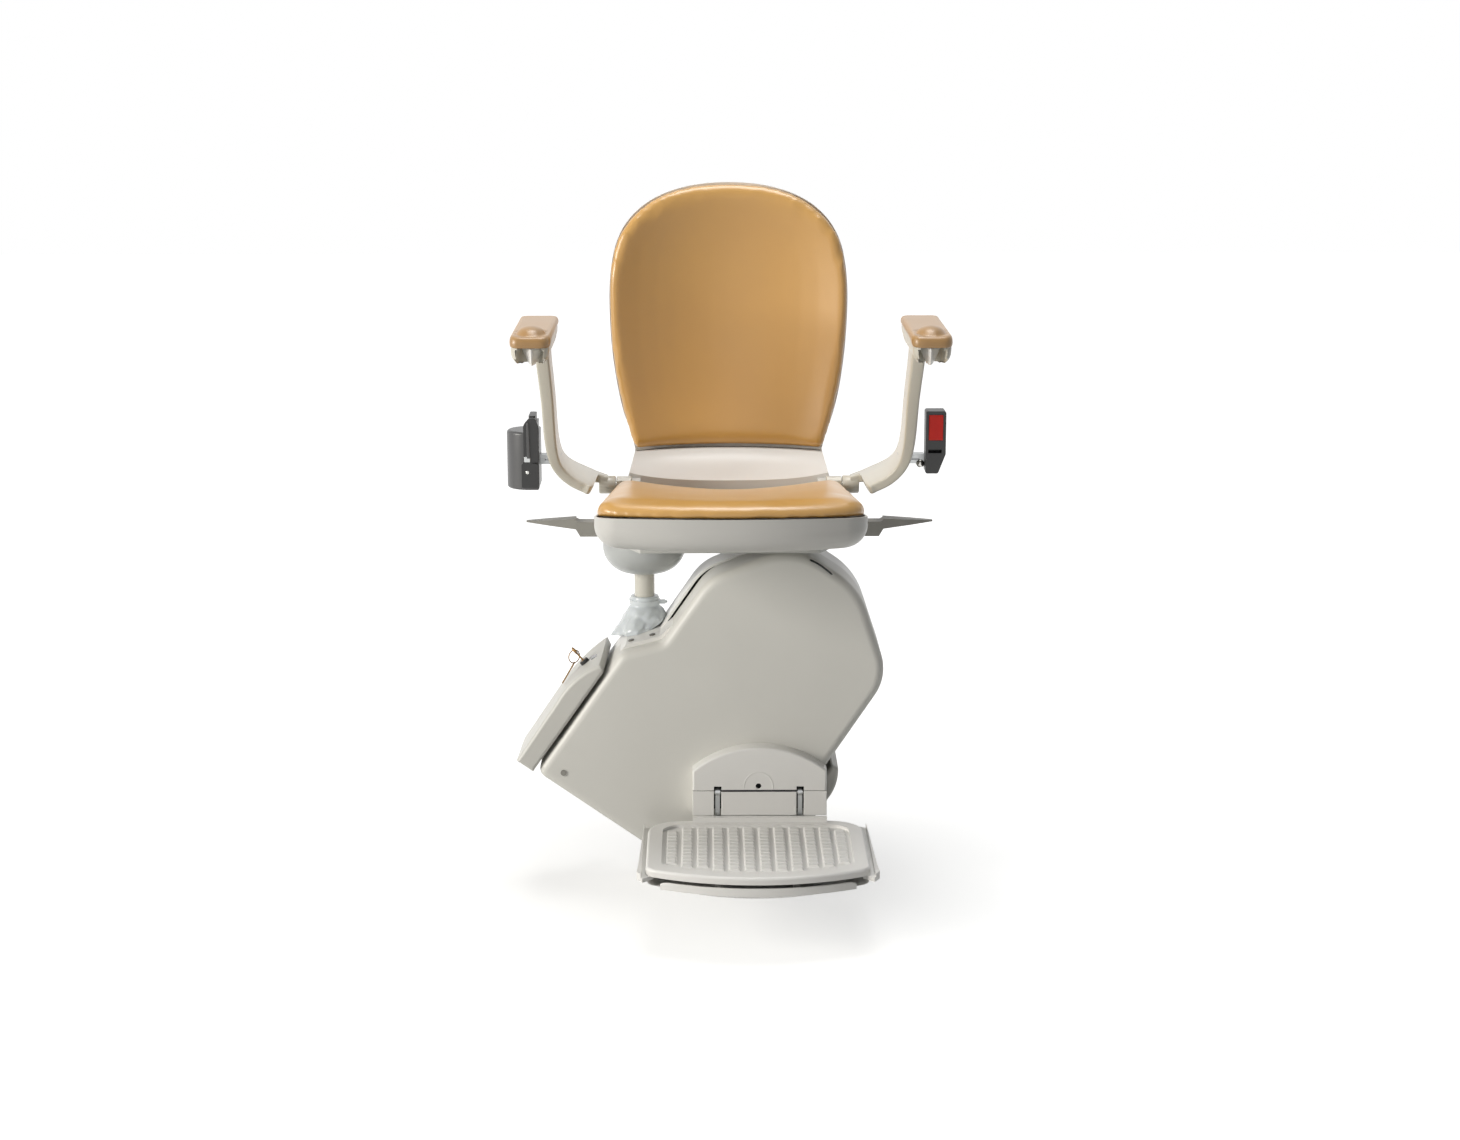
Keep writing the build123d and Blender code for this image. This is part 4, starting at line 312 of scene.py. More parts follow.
def lofted(name, rings, finish, sharp=35.0, ends=(True, True)):
    """Joins rings into a skin and closes its ends with a fan."""
    count = len(rings[0])
    points = [p for ring in rings for p in ring]
    faces = []
    for r in range(len(rings) - 1):
        for i in range(count):
            j = (i + 1) % count
            faces.append((r * count + i, r * count + j, (r + 1) * count + j, (r + 1) * count + i))
    for wanted, ring, start, flip in ((ends[0], rings[0], 0, True),
                                      (ends[1], rings[-1], (len(rings) - 1) * count, False)):
        if not wanted:
            continue
        points.append(tuple(sum(p[k] for p in ring) / count for k in range(3)))
        hub = len(points) - 1
        for i in range(count):
            j = (i + 1) % count
            faces.append((start + j, start + i, hub) if flip else (start + i, start + j, hub))
    return piece_from(name, points, faces, finish, sharp)


def along_curve(x, pairs):
    """Smooth value at x of a curve through (x, value) pairs in rising x."""
    x = min(max(x, pairs[0][0]), pairs[-1][0])
    k = max(i for i in range(len(pairs) - 1) if pairs[i][0] <= x or i == 0)
    (x0, v0), (x1, v1) = pairs[k], pairs[k + 1]
    before, after = pairs[max(k - 1, 0)], pairs[min(k + 2, len(pairs) - 1)]
    slope0 = (v1 - before[1]) / (x1 - before[0])
    slope1 = (after[1] - v0) / (after[0] - x0)
    t, span = (x - x0) / (x1 - x0), x1 - x0
    return ((1 + 2 * t) * (1 - t) ** 2 * v0 + t * (1 - t) ** 2 * span * slope0
            + t * t * (3 - 2 * t) * v1 - t * t * (1 - t) * span * slope1)


def spline_points(knots, steps):
    """Points along a smooth curve through knots of any dimension."""
    ends = [knots[0]] + list(knots) + [knots[-1]]
    result = []
    for a, b, c, d in zip(ends, ends[1:], ends[2:], ends[3:]):
        for k in range(steps):
            t = k / steps
            result.append(tuple(0.5 * (2 * q + (r - p) * t + (2 * p - 5 * q + 4 * r - s) * t * t
                                       + (3 * q - p - 3 * r + s) * t ** 3)
                                for p, q, r, s in zip(a, b, c, d)))
    result.append(tuple(knots[-1]))
    return result


def mirrored_loop(half, count):
    """Spaces points evenly on a half outline that starts and ends at x = 0, and mirrors them."""
    lengths = [0.0]
    for p, q in zip(half, half[1:]):
        lengths.append(lengths[-1] + sqrt(sum((a - b) ** 2 for a, b in zip(p, q))))
    right, k, steps = [], 0, count // 2
    for i in range(steps + 1):
        want = lengths[-1] * i / steps
        while k < len(lengths) - 2 and lengths[k + 1] < want:
            k += 1
        t = (want - lengths[k]) / max(lengths[k + 1] - lengths[k], 1e-9)
        right.append(tuple(a + (b - a) * t for a, b in zip(half[k], half[k + 1])))
    return right + [(-a, b) for a, b in reversed(right[1:-1])]


def rounded(corners, radii, steps=6):
    """A flat polygon with its corners rounded by arcs (as quadratic curves)."""
    result = []
    for i, corner in enumerate(corners):
        if radii[i] == 0:
            result.append(tuple(corner))
            continue
        before, after = Vector(corners[i - 1]), Vector(corners[(i + 1) % len(corners)])
        here, radius = Vector(corner), radii[i]
        start = here + (before - here).normalized() * radius
        stop = here + (after - here).normalized() * radius
        for k in range(steps + 1):
            t = k / steps
            result.append(tuple(start * (1 - t) ** 2 + here * 2 * t * (1 - t) + stop * t * t))
    return result


# %% [markdown]
# One helper says, for each new piece, which body carries it and hides the plain solids that it takes
# the place of. Two more subdivide a piece and draw a round bead.

# %% Settling a piece


def settle(piece, body, slot, *replaced):
    """Hangs a piece on the body that carries it and hides the frame pieces it stands for; slot is not used.
    """
    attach(piece, body)
    if replaced:
        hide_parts(*replaced)
    return piece


def refined(piece, levels=1):
    """Subdivides a piece once its shape is settled."""
    smooth = piece.modifiers.new("refined", "SUBSURF")
    smooth.levels = smooth.render_levels = levels
    return piece


def tube(name, path, radius, finish, closed=True, sides=8):
    """A round bead along a path of points in millimetres."""
    points, faces, count = [], [], len(path)
    for k, here in enumerate(path):
        here = Vector(here)
        ahead = Vector(path[(k + 1) % count] if closed else path[min(k + 1, count - 1)])
        behind = Vector(path[k - 1] if closed else path[max(k - 1, 0)])
        run = (ahead - behind).normalized()
        side = run.cross(Vector((0, 0, 1)) if abs(run.z) < 0.9 else Vector((0, 1, 0))).normalized()
        lift = side.cross(run)
        for i in range(sides):
            turn = 2 * pi * i / sides
            points.append(tuple(here + side * radius * cos(turn) + lift * radius * sin(turn)))
    for k in range(count if closed else count - 1):
        for i in range(sides):
            j, m = (i + 1) % sides, (k + 1) % count
            faces.append((k * sides + i, k * sides + j, m * sides + j, m * sides + i))
    if not closed:
        faces += [tuple(range(sides))[::-1], tuple((count - 1) * sides + i for i in range(sides))]
    return piece_from(name, points, faces, finish)


# %% [markdown]
# A cushion is described the way an upholsterer cuts it: an outline, a line in its middle, and a
# profile that says how far in from the edge and how high each ring of its skin lies.

# %% Cushions


def cushion(name, outline, middle, profile, place, finish):
    """Closed pad; the profile's rows are the inset in mm, the share of the way in, and the height."""
    rings = []
    for inset, share, height in profile:
        ring = []
        for a, b in outline:
            ma, mb = middle(a, b)
            reach = sqrt((ma - a) ** 2 + (mb - b) ** 2)
            part = share + (1 - share) * inset / reach
            ring.append(place(a + (ma - a) * part, b + (mb - b) * part, height))
        rings.append(ring)
    return lofted(name, rings, finish, sharp=60.0, ends=(False, False))


# %% [markdown]
# Upholstery is foam that pushes its skin outwards. Blender's cloth does that with pressure: the pad is
# remeshed into even quads, its underside is held, gravity is off, and a few steps are run. No point may
# travel further than a cap, so the pad keeps its outline, and a light smoothing takes out the voxels.

# %% Stuffing a pad
CLOTH_FRAMES = 20
VOXEL = 5.0 * MM
CALM_FACTOR, CALM_ROUNDS = 0.5, 8


def baked(piece):
    """Applies a piece's modifiers."""
    shown = bpy.data.meshes.new_from_object(piece.evaluated_get(bpy.context.evaluated_depsgraph_get()))
    piece.modifiers.clear()
    piece.data = shown
    shown.shade_smooth()


def stuffed(pad, height_of, held_below, pressure, cap_mm):
    """Inflates a closed pad with cloth; what lies lower than held_below (mm) stays in place."""
    remesh = pad.modifiers.new("even", "REMESH")
    remesh.mode, remesh.voxel_size, remesh.use_smooth_shade = "VOXEL", VOXEL, True
    baked(pad)
    rest = [v.co.copy() for v in pad.data.vertices]
    held = [i for i, co in enumerate(rest) if height_of(co / MM) < held_below]
    pad.vertex_groups.new(name="held").add(held, 1.0, "REPLACE")
    cloth = pad.modifiers.new("stuffing", "CLOTH")
    cloth.settings.use_pressure = True
    cloth.settings.uniform_pressure_force = pressure
    cloth.settings.effector_weights.gravity = 0
    cloth.settings.vertex_group_mass = "held"
    cloth.point_cache.frame_start, cloth.point_cache.frame_end = 1, CLOTH_FRAMES
    for step in range(1, CLOTH_FRAMES + 1):
        bpy.context.scene.frame_set(step)
    shown = pad.evaluated_get(bpy.context.evaluated_depsgraph_get()).data
    moved = [v.co.copy() for v in shown.vertices]
    pad.modifiers.clear()
    bpy.context.scene.frame_set(1)
    for vertex, before, after in zip(pad.data.vertices, rest, moved):
        step = after - before
        vertex.co = before + step * min(1.0, cap_mm * MM / max(step.length, 1e-9))
    calm = pad.modifiers.new("calm", "SMOOTH")
    calm.factor, calm.iterations = CALM_FACTOR, CALM_ROUNDS
    baked(pad)
    print(pad.name, "swelled by up to", round(max((a - b).length for a, b in zip(rest, moved)) / MM, 1),
          "mm before the cap, over", len(rest), "points")


# %% [markdown]
# The back is one sheet of foam bent round an upright axis in front of it, with a straight lower edge
# and an egg-shaped outline. Its skin turns over a firm lip all round, which catches the light. Along its
# lower edge a thin black tube is painted shade: it stands for the shadow in the gap to the shell.

# %% Back pad
SEAT_X = 67.0
BACK_AXIS_Y = -245.0
BACK_THICK = 20.0
BACK_LINE = (545.0, 690.0)
BACK_FRONT = [(431.0, 40.0), (520.0, 52.0), (620.0, 56.0), (720.0, 54.0), (803.0, 43.0)]
BACK_EDGE = [(132.0, 431.0), (147.0, 480.0), (160.0, 545.0), (166.0, 620.0), (163.0, 690.0),
             (147.5, 738.0), (115.0, 772.0), (70.0, 793.0)]
BACK_PROFILE = [(0, 1, 0.8), (0, 0.6, 0.8), (9, 0, 0.8), (2.6, 0, 1.0), (1.2, 0, 3), (0.8, 0, 6.5),
                (1.2, 0, 10.5), (2.6, 0, 14), (5, 0, 16.6), (8.5, 0, 18.2), (13, 0, 18.8), (20, 0, 19)]
BACK_PROFILE += [(0, share, 19) for share in (0.25, 0.4, 0.55, 0.7, 0.85, 1)]


def back_front(x, z):
    """Depth of the back pad's front face at a point seen from the front."""
    return BACK_AXIS_Y + sqrt((along_curve(z, BACK_FRONT) - BACK_AXIS_Y) ** 2 - (x - SEAT_X) ** 2)


def on_back(x, z, height):
    """A point on the back at a height above the shell that carries the pad."""
    return (x + SEAT_X, back_front(x + SEAT_X, z) + BACK_THICK - height, z)


def back_middle(a, b):
    """The upright line in the middle of the pad that its rings shrink to."""
    return 0.0, min(max(b, BACK_LINE[0]), BACK_LINE[1])


edge_knots = BACK_EDGE + [(0.0, 801.0)] + [(-x, z) for x, z in reversed(BACK_EDGE)]
right_edge = spline_points(edge_knots, 12)[:len(BACK_EDGE) * 12 + 1]
corner = rounded([(0.0, 431.0), (132.0, 431.0), right_edge[8]], [0, 5.0, 0], 5)
back_outline = mirrored_loop(corner[:-1] + right_edge[8:], 240)
back_pad = cushion("back_cushion", back_outline, back_middle, BACK_PROFILE, on_back, caramel_vinyl)
stuffed(back_pad, lambda p: back_front(p.x, p.z) + BACK_THICK - p.y, 3.0, 4.0, 2.2)
settle(refined(back_pad), "chair", "caramel_vinyl", "back_pad")

# Painted shade: a thin black tube along the pad's lower edge stands for the shadow in the gap between the
# pad and the shell
GAP_Z, GAP_HALF, GAP_HEIGHT = 430.4, 128.0, 11.0
gap_shade_line = [on_back(-GAP_HALF + 2 * GAP_HALF * k / 40, GAP_Z, GAP_HEIGHT) for k in range(41)]
settle(tube("back_gap_painted_shade", gap_shade_line, 1.0, black_abs_and_painted_shade, closed=False), "chair", "black_plastic")

# %% [markdown]
# The seat pad lies on the pan's rim, tilted down towards the back. Its front edge bows forward and its
# corners are round. The foam crowns a little in the middle, and rolls over at the edges.

# %% Seat pad
RIM_FRONT_Y, RIM_FRONT_Z = -350.0, 405.0
TILT = radians(6.6)
SEAT_BOW = 39.5              # where the front corners lie, behind the middle of the front edge
SEAT_HALF_FRONT, SEAT_HALF_REAR, SEAT_DEPTH = 176.5, 159.5, 298.2
SEAT_THICK, SEAT_WING = 20.0, 17.0
SEAT_LINE = (120.0, 190.0)
BOW_START = 1.5              # the middle of the front edge, behind the rim's
SEAT_PROFILE = [(0, 1, 0.6), (0, 0.6, 0.6), (9, 0, 0.6), (2.6, 0, 0.8), (1.5, 0, 3), (1.3, 0, 8),
                (1.9, 0, 10.6), (3.4, 0, 13.4), (6, 0, 15.8), (9.5, 0, 17.5), (14, 0, 18.6),
                (21, 0, 19.3)]
SEAT_PROFILE += [(0, share, 19.6) for share in (0.2, 0.35, 0.5, 0.65, 0.8, 1)]


def on_seat(x, back, height):
    """A point of the seat: from its centre line, from its front edge, and above the pan's rim."""
    wing = SEAT_WING * (x / SEAT_HALF_REAR) ** 2 * max(0.0, back / SEAT_DEPTH)
    height *= 1 + wing / SEAT_THICK
    return (SEAT_X + x, RIM_FRONT_Y + back * cos(TILT) + height * sin(TILT),
            RIM_FRONT_Z - back * sin(TILT) + height * cos(TILT))


def seat_height(p):
    """Height of a point above the pan's rim."""
    return (p.y - RIM_FRONT_Y) * sin(TILT) + (p.z - RIM_FRONT_Z) * cos(TILT)


bow_depth = SEAT_BOW - BOW_START
bow_radius = (SEAT_HALF_FRONT ** 2 + bow_depth ** 2) / (2 * bow_depth)
bow = [(x, BOW_START + bow_radius - sqrt(bow_radius ** 2 - x * x))
       for x in (SEAT_HALF_FRONT * k / 8 for k in range(9))]
half_seat = rounded(bow + [(SEAT_HALF_REAR, SEAT_DEPTH), (0.0, SEAT_DEPTH)],
                    [0] * 8 + [22.0, 20.0, 0])
seat_outline = mirrored_loop(half_seat, 240)
seat_pad = cushion("seat_cushion", seat_outline,
                   lambda a, b: (0.0, min(max(b, SEAT_LINE[0]), SEAT_LINE[1])),
                   SEAT_PROFILE, on_seat, caramel_vinyl)
stuffed(seat_pad, seat_height, 2.5, 4.0, 2.4)
settle(refined(seat_pad), "seat", "caramel_vinyl", "seat_pad")

# %% [markdown]
# Each armrest is a foam cap over a moulded body. The cap hangs over the body's front as a skirt, and
# near its front it swells into an almond that the fingers rest on.

# %% Armrest caps
ARM_CENTRE = 253.0
ARM_FRONT_Y, ARM_LENGTH, ARM_WIDTH = -330.0, 220.0, 52.0
ARM_LINE = 30.0              # how far from each end the middle line stops
CAP_Z, CAP_TOP = 626.0, 10.2
CAP_PROFILE = [(0, 1, 0.3, 0), (2.4, 0, 0.3, 0), (1.6, 0, 0.1, 1), (0.5, 0, 0.8, 1), (0, 0, 3.4, 0.6),
               (0.7, 0, 6.6, 0.1), (2.3, 0, 9.0, 0), (4.6, 0, 10.0, 0), (7.5, 0, CAP_TOP, 0)]
CAP_PROFILE += [(0, 0.3 + 0.7 * k / 14, CAP_TOP, 0) for k in range(15)]
SKIRT_DROP, SKIRT_LENGTH = 6.5, 70.0
NOSE_DROP, NOSE_LENGTH, NOSE_ABOVE = 3.0, 26.0, 4.0
HUMP_HEIGHT, HUMP_HALF_WIDTH, HUMP_HALF_LENGTH, HUMP_BACK = 8.5, 19.5, 25.0, 37.0
HOLLOW_DEPTH = 2.0
half_plan = rounded([(0.0, 0.0), (ARM_WIDTH / 2, 0.0), (ARM_WIDTH / 2, ARM_LENGTH), (0.0, ARM_LENGTH)],
                    [0, 15.0, 12.0, 0])
arm_plan = mirrored_loop(half_plan, 160)


def from_arm_edge(a, b, inset, share=0.0):
    """A point of the armrest's plan, moved in from the edge towards the middle line."""
    mb = min(max(b, ARM_LINE), ARM_LENGTH - ARM_LINE)
    part = share + (1 - share) * inset / sqrt(a * a + (mb - b) ** 2)
    return a * (1 - part), b + (mb - b) * part


def hand_relief(x, y):
    """Height of the almond under the fingers and of the shallow hollow round it."""
    away = sqrt((x / HUMP_HALF_WIDTH) ** 2 + ((y - HUMP_BACK) / HUMP_HALF_LENGTH) ** 2)
    almond = HUMP_HEIGHT * max(0.0, 1 - away * away) ** 0.8
    return almond - HOLLOW_DEPTH * exp(-((away - 1.02) / 0.2) ** 2)


def armrest_cap(side, name):
    """Foam cap of an armrest; side is -1 on the left and 1 on the right."""
    rings = []
    for inset, share, height, hang in CAP_PROFILE:
        ring = []
        for a, b in arm_plan:
            x, y = from_arm_edge(a, b, inset, share)
            skirt = hang * SKIRT_DROP * max(0.0, 1 - b / SKIRT_LENGTH) ** 1.5
            relief = hand_relief(x, y) if height == CAP_TOP else 0.0
            nose = max(0.0, 1 - y / NOSE_LENGTH) ** 2 * NOSE_DROP if height > NOSE_ABOVE else 0.0
            ring.append((SEAT_X + side * ARM_CENTRE + x, ARM_FRONT_Y + y,
                         CAP_Z + height + relief - skirt - nose))
        rings.append(ring)
    cap = lofted("armrest_cap_" + name, rings, caramel_foam, sharp=60.0, ends=(False, False))
    settle(refined(cap), "arm_" + name, "caramel_vinyl", "armrest_pad_" + name)


for side, name in SIDES:
    armrest_cap(side, name)
print("armrest caps", ARM_WIDTH, "by", ARM_LENGTH, "mm")

# %% [markdown]
# An arm is one curved blade of moulded plastic over steel. A rounded rectangle is swept along its
# bend, from the hinge beside the seat up into the armrest, and it narrows as it climbs.

# %% Arms
# x from the seat's centre line, z, thickness of the blade, and its front and back edges in depth
ARM_ROWS = [(168.0, 400.4, 11.0, -48.5, -27.5), (180.6, 403.6, 12.4, -50.0, -25.0),
            (182.5, 404.2, 12.4, -64.0, -24.5), (186.0, 405.6, 12.4, -146.0, -24.5),
            (196.0, 410.3, 12.4, -154.0, -25.0), (211.5, 419.0, 12.8, -157.0, -34.0),
            (225.0, 432.4, 13.4, -161.0, -58.0), (233.5, 450.0, 14.0, -168.0, -80.0),
            (237.6, 480.0, 15.4, -181.0, -108.0), (239.4, 535.0, 16.4, -205.0, -141.0),
            (243.2, 588.0, 17.6, -226.0, -162.0), (243.8, 604.0, 18.0, -232.0, -169.0)]
ARM_ROUND = 3.4
HUB_X, HUB_Y, HUB_Z = 167.5, -38.0, 393.0
HUB_HALF, HUB_RADIUS, HUB_CHAMFER = 11.5, 12.4, 1.2


def arm_blade(side, name):
    """The swept blade and its hinge eye."""
    rows = spline_points(ARM_ROWS, 5)
    rings = []
    for k, (x, z, thick, front, back) in enumerate(rows):
        ahead, behind = rows[min(k + 1, len(rows) - 1)], rows[max(k - 1, 0)]
        run = Vector((ahead[0] - behind[0], ahead[1] - behind[1])).normalized()
        half = thick / 2
        section = rounded([(-half, front), (half, front), (half, back), (-half, back)],
                          [ARM_ROUND] * 4, 4)
        rings.append([(SEAT_X + side * (x + run.y * s), y, z - run.x * s) for s, y in section])
    blade = lofted("arm_blade_" + name, rings, arm_abs, sharp=50.0)
    settle(blade, "arm_" + name, "cover_white", "arm_" + name)
    eye = []
    for across, shrink in ((-1.0, HUB_CHAMFER), (-0.9, 0.0), (0.9, 0.0), (1.0, HUB_CHAMFER)):
        x, radius = SEAT_X + side * HUB_X + across * HUB_HALF, HUB_RADIUS - shrink
        eye.append([(x, HUB_Y + radius * cos(pi * k / 20), HUB_Z + radius * sin(pi * k / 20))
                    for k in range(40)])
    settle(lofted("arm_eye_" + name, eye, arm_abs, sharp=50.0), "arm_" + name, "cover_white")


for side, name in SIDES:
    arm_blade(side, name)
print("arm blades of", len(ARM_ROWS), "sections")

# %% [markdown]
# Under each cap is a moulded body with round lower edges. Its front has a pocket in which the call
# switch turns: below the pocket's roof the rings' front points are pushed back onto a half circle.

# %% Armrest bodies
TOGGLE_Y, TOGGLE_OFFSET = -304.0, 251.0
BODY_ROWS = [(626.0, 2.2), (623.6, 2.0), (623.4, 2.0), (618.0, 1.8), (611.0, 2.4), (606.0, 4.2),
             (602.0, 7.5), (599.4, 11.5), (598.2, 16.0)]     # height, and inset from the plan
BODY_DEPTH = 28.0
POCKET_HALF, POCKET_ROOF, POCKET_Y = 15.2, 623.4, 26.0
TAIL_START, TAIL_RISE = 185.0, 15.0


def armrest_body(side, name):
    """Rounded tray under a cap, raised at its tail, with a pocket in its nose."""
    rings = []
    for z, inset in BODY_ROWS:
        ring = []
        for a, b in arm_plan:
            x, y = from_arm_edge(a, b, inset)
            if z <= POCKET_ROOF and abs(x) < POCKET_HALF and y < POCKET_Y:
                y = POCKET_Y + sqrt(POCKET_HALF ** 2 - x * x)
            tail = max(0.0, (y - TAIL_START) / (ARM_LENGTH - TAIL_START))
            ring.append((SEAT_X + side * ARM_CENTRE + x, ARM_FRONT_Y + y,
                         z + TAIL_RISE * tail * (CAP_Z - z) / BODY_DEPTH))
        rings.append(ring)
    body = lofted("armrest_body_" + name, rings, arm_abs, sharp=40.0)
    settle(body, "arm_" + name, "cover_white", "armrest_housing_" + name)


for side, name in SIDES:
    armrest_body(side, name)
print("armrest bodies hang down to", BODY_ROWS[-1][0], "mm")

# %% [markdown]
# The call switch under each armrest is a small fin with a sharp ridge in front and a scoop each side
# for a finger, so that it turns left or right. Its cross-section is a diamond with hollow sides.

# %% Call switches
# height, half width, and the reach of the ridge in front and of the back
TOGGLE_ROWS = [(622.0, 13.5, 22.5, 12.0), (616.0, 13.0, 22.0, 12.0), (610.0, 10.0, 20.5, 11.0),
               (604.0, 7.0, 18.5, 9.0), (599.0, 5.0, 16.5, 7.0), (596.5, 3.4, 14.0, 5.0)]
HOLLOW = 1.35                # below 2, the curve between ridge and side is flatter than an ellipse


def call_switch(side, name):
    """The hanging fin."""
    rings = []
    for z, half, front, rear in TOGGLE_ROWS:
        ring = []
        for k in range(36):
            turn = 2 * pi * k / 36
            c, s = cos(turn), sin(turn)
            power = 2 / (HOLLOW if s < 0 else 2.0)
            x = half * abs(c) ** power * (1 if c > 0 else -1)
            y = (front if s < 0 else rear) * abs(s) ** power * (1 if s > 0 else -1)
            ring.append((SEAT_X + side * TOGGLE_OFFSET + x, TOGGLE_Y + y, z))
        rings.append(ring)
    fin = lofted("call_switch_" + name, rings, white_abs, sharp=50.0)
    settle(refined(fin), "toggle_" + name, "cover_white", "toggle_" + name)


for side, name in SIDES:
    call_switch(side, name)
print("call switches hang from", TOGGLE_ROWS[0][0], "to", TOGGLE_ROWS[-1][0], "mm")

# %% [markdown]
# The boot is a tube of soft vinyl, clamped at the post and spread over the covers' shoulder. Pushed
# down it folds into lobes, so each ring wanders in and out, more so near its foot.

# %% Boot
POST_X, POST_Y = -50.0, -60.0
LEDGE_X, LEDGE_Z, LEDGE_SLOPE, PLATE = -72.0, 186.3, 0.265, 5.0
CUFF_ROWS = [(242.0, 18.6), (241.0, 19.6), (238.5, 20.0), (231.0, 20.0), (229.5, 19.4),
             (227.0, 21.0)]                                  # height and radius at the clamp
SKIRT_ROWS, SKIRT_TOP, FOOT_GAP = 14, 227.0, 0.3
BOOT_TURNS = 96
BOOT_LEAN = 8.0              # the slack gathers on the downhill side
LOBE_SIZE, FOLD_SIZE, LOBE_SAG = 7.5, 4.5, 2.2


def boot_ring(radius, height, share):
    """One ring of the boot; share is 0 at the clamp and 1 where it meets the shoulder."""
    ring = []
    for k in range(BOOT_TURNS):
        turn = 2 * pi * k / BOOT_TURNS
        way = Vector((cos(turn), sin(turn), 0))
        lobes = noise.noise(way * 1.7 + Vector((3.1, 0.4, share * 1.6)))
        folds = noise.noise(way * 3.4 + Vector((0.7, 8.2, share * 4.2)))
        swell = share ** 0.8 * (LOBE_SIZE * lobes + FOLD_SIZE * folds)
        x = POST_X - BOOT_LEAN * share ** 2 + way.x * (radius + swell)
        y = POST_Y + way.y * (radius + swell)
        foot = LEDGE_Z + (x - LEDGE_X) * LEDGE_SLOPE + PLATE + FOOT_GAP
        sag = LOBE_SAG * lobes * share * (1 - share) * 4
        ring.append((x, y, height if share == 0 else SKIRT_TOP + (foot - SKIRT_TOP) * share + sag))
    return ring


boot_rings = [boot_ring(radius, height, 0.0) for height, radius in CUFF_ROWS]
for k in range(1, SKIRT_ROWS + 1):
    share = k / SKIRT_ROWS
    tuck = 2.5 * max(0.0, share - 0.85) / 0.15               # the hem turns in over its last part
    boot_rings.append(boot_ring(21.0 + 17.0 * share ** 0.75 - tuck, 0, share))
boot = lofted("boot", boot_rings, boot_vinyl, sharp=80.0, ends=(True, False))
settle(refined(boot), "carriage", "boot_vinyl", "gaiter")
print("boot has", len(boot_rings), "rings")

# %% [markdown]
# The footplate's tread is a field of low tiles with narrow gaps between them, moulded in the recess, so
# that a shoe grips in both directions. Light from the side draws each column as a dark and a bright line.

# %% Tread
TREAD_FLOOR = -46.0
TILE_PITCH_X, TILE_PITCH_Y = 20.4, 13.6
TILE_HALF_X, TILE_HALF_Y = 7.6, 6.1
TILE_RISE, TILE_SLOPE = 3.0, 2.4
FOOT_MIDDLE, FOOT_HALF = 101.0, 125.0
FOOT_BACK, FOOT_FRONT, FOOT_BOW = -212.0, -372.0, 38.0
COLUMNS, ROWS, BACK_MARGIN, FRONT_MARGIN = 12, 15, 6.0, 5.0


def tread_front(x):
    """Front edge of the recess at x, which bows forward like the plate."""
    return FOOT_FRONT - FOOT_BOW * (1 - ((x - FOOT_MIDDLE) / FOOT_HALF) ** 2)


points, faces = [], []
for i in range(COLUMNS):
    x = FOOT_MIDDLE + (i - (COLUMNS - 1) / 2) * TILE_PITCH_X
    edge = max(tread_front(x - TILE_HALF_X), tread_front(x + TILE_HALF_X))
    for j in range(ROWS):
        y = FOOT_BACK - BACK_MARGIN - TILE_HALF_Y - j * TILE_PITCH_Y
        if y - TILE_HALF_Y < edge + FRONT_MARGIN or (j == 0 and i in (0, COLUMNS - 1)):
            continue
        first = len(points)
        for shrink, rise in ((0.0, 0.0), (TILE_SLOPE * 0.6, TILE_RISE * 0.8), (TILE_SLOPE, TILE_RISE)):
            for a, b in ((-1, -1), (1, -1), (1, 1), (-1, 1)):
                points.append((x + a * (TILE_HALF_X - shrink), y + b * (TILE_HALF_Y - shrink * 0.5),
                               TREAD_FLOOR + rise + (0.05 if rise == 0 else 0)))
        for low in (first, first + 4):
            faces += [(low + k, low + (k + 1) % 4, low + 4 + (k + 1) % 4, low + 4 + k) for k in range(4)]
        faces += [(first + 8, first + 9, first + 10, first + 11), (first + 3, first + 2, first + 1, first)]
tread = piece_from("tread", points, faces, white_abs, sharp=25.0)
settle(tread, "footrest", "cover_white")
print("tread tiles", len(points) // 12)

# %% [markdown]
# Under the plate hangs a sprung safety pan. Its front wall stands up as a lip that stops short of the
# plate, so that only a thin dark line is left between them. The lip follows the plate's bow.

# %% Safety pan's lip
PAN_FRONT, PAN_HALF, PAN_BOW = -390.0, 143.0, 38.0
LIP_HALF, LIP_TOP, LIP_FOOT, LIP_THICK = 126.0, -57.6, -68.0, 3.0
LIP_STEPS, LIP_DROP, LIP_RAMP = 24, 3.0, 0.06
pan_radius = (PAN_HALF ** 2 + PAN_BOW ** 2) / (2 * PAN_BOW)


def pan_edge(x, inset):
    """Depth of the pan's bowed front at x, some way in from its edge."""
    return PAN_FRONT - PAN_BOW + pan_radius - sqrt((pan_radius - inset) ** 2 - (x - FOOT_MIDDLE) ** 2)


lip_rings = []
for k in range(2 * LIP_STEPS + 1):
    x = FOOT_MIDDLE + LIP_HALF * (k / LIP_STEPS - 1)
    top = LIP_TOP - LIP_DROP * max(0.0, abs(k / LIP_STEPS - 1) - (1 - LIP_RAMP)) / LIP_RAMP
    section = rounded([(0.0, LIP_FOOT), (0.0, top), (LIP_THICK, top), (LIP_THICK, LIP_FOOT)],
                      [0, 1.2, 1.2, 0], 3)
    lip_rings.append([(x, pan_edge(x, inset), z) for inset, z in section])
settle(lofted("safety_pan_lip", lip_rings, white_abs, sharp=50.0), "footrest_pan", "cover_white")
print("lip", 2 * LIP_HALF, "mm wide")

# %% [markdown]
# Small flat parts share a helper: an outline between two depths, with its edges rounded as on any
# moulded part. Small round parts are turned: rows of radius and height along an axis.

# %% Plates and turned parts


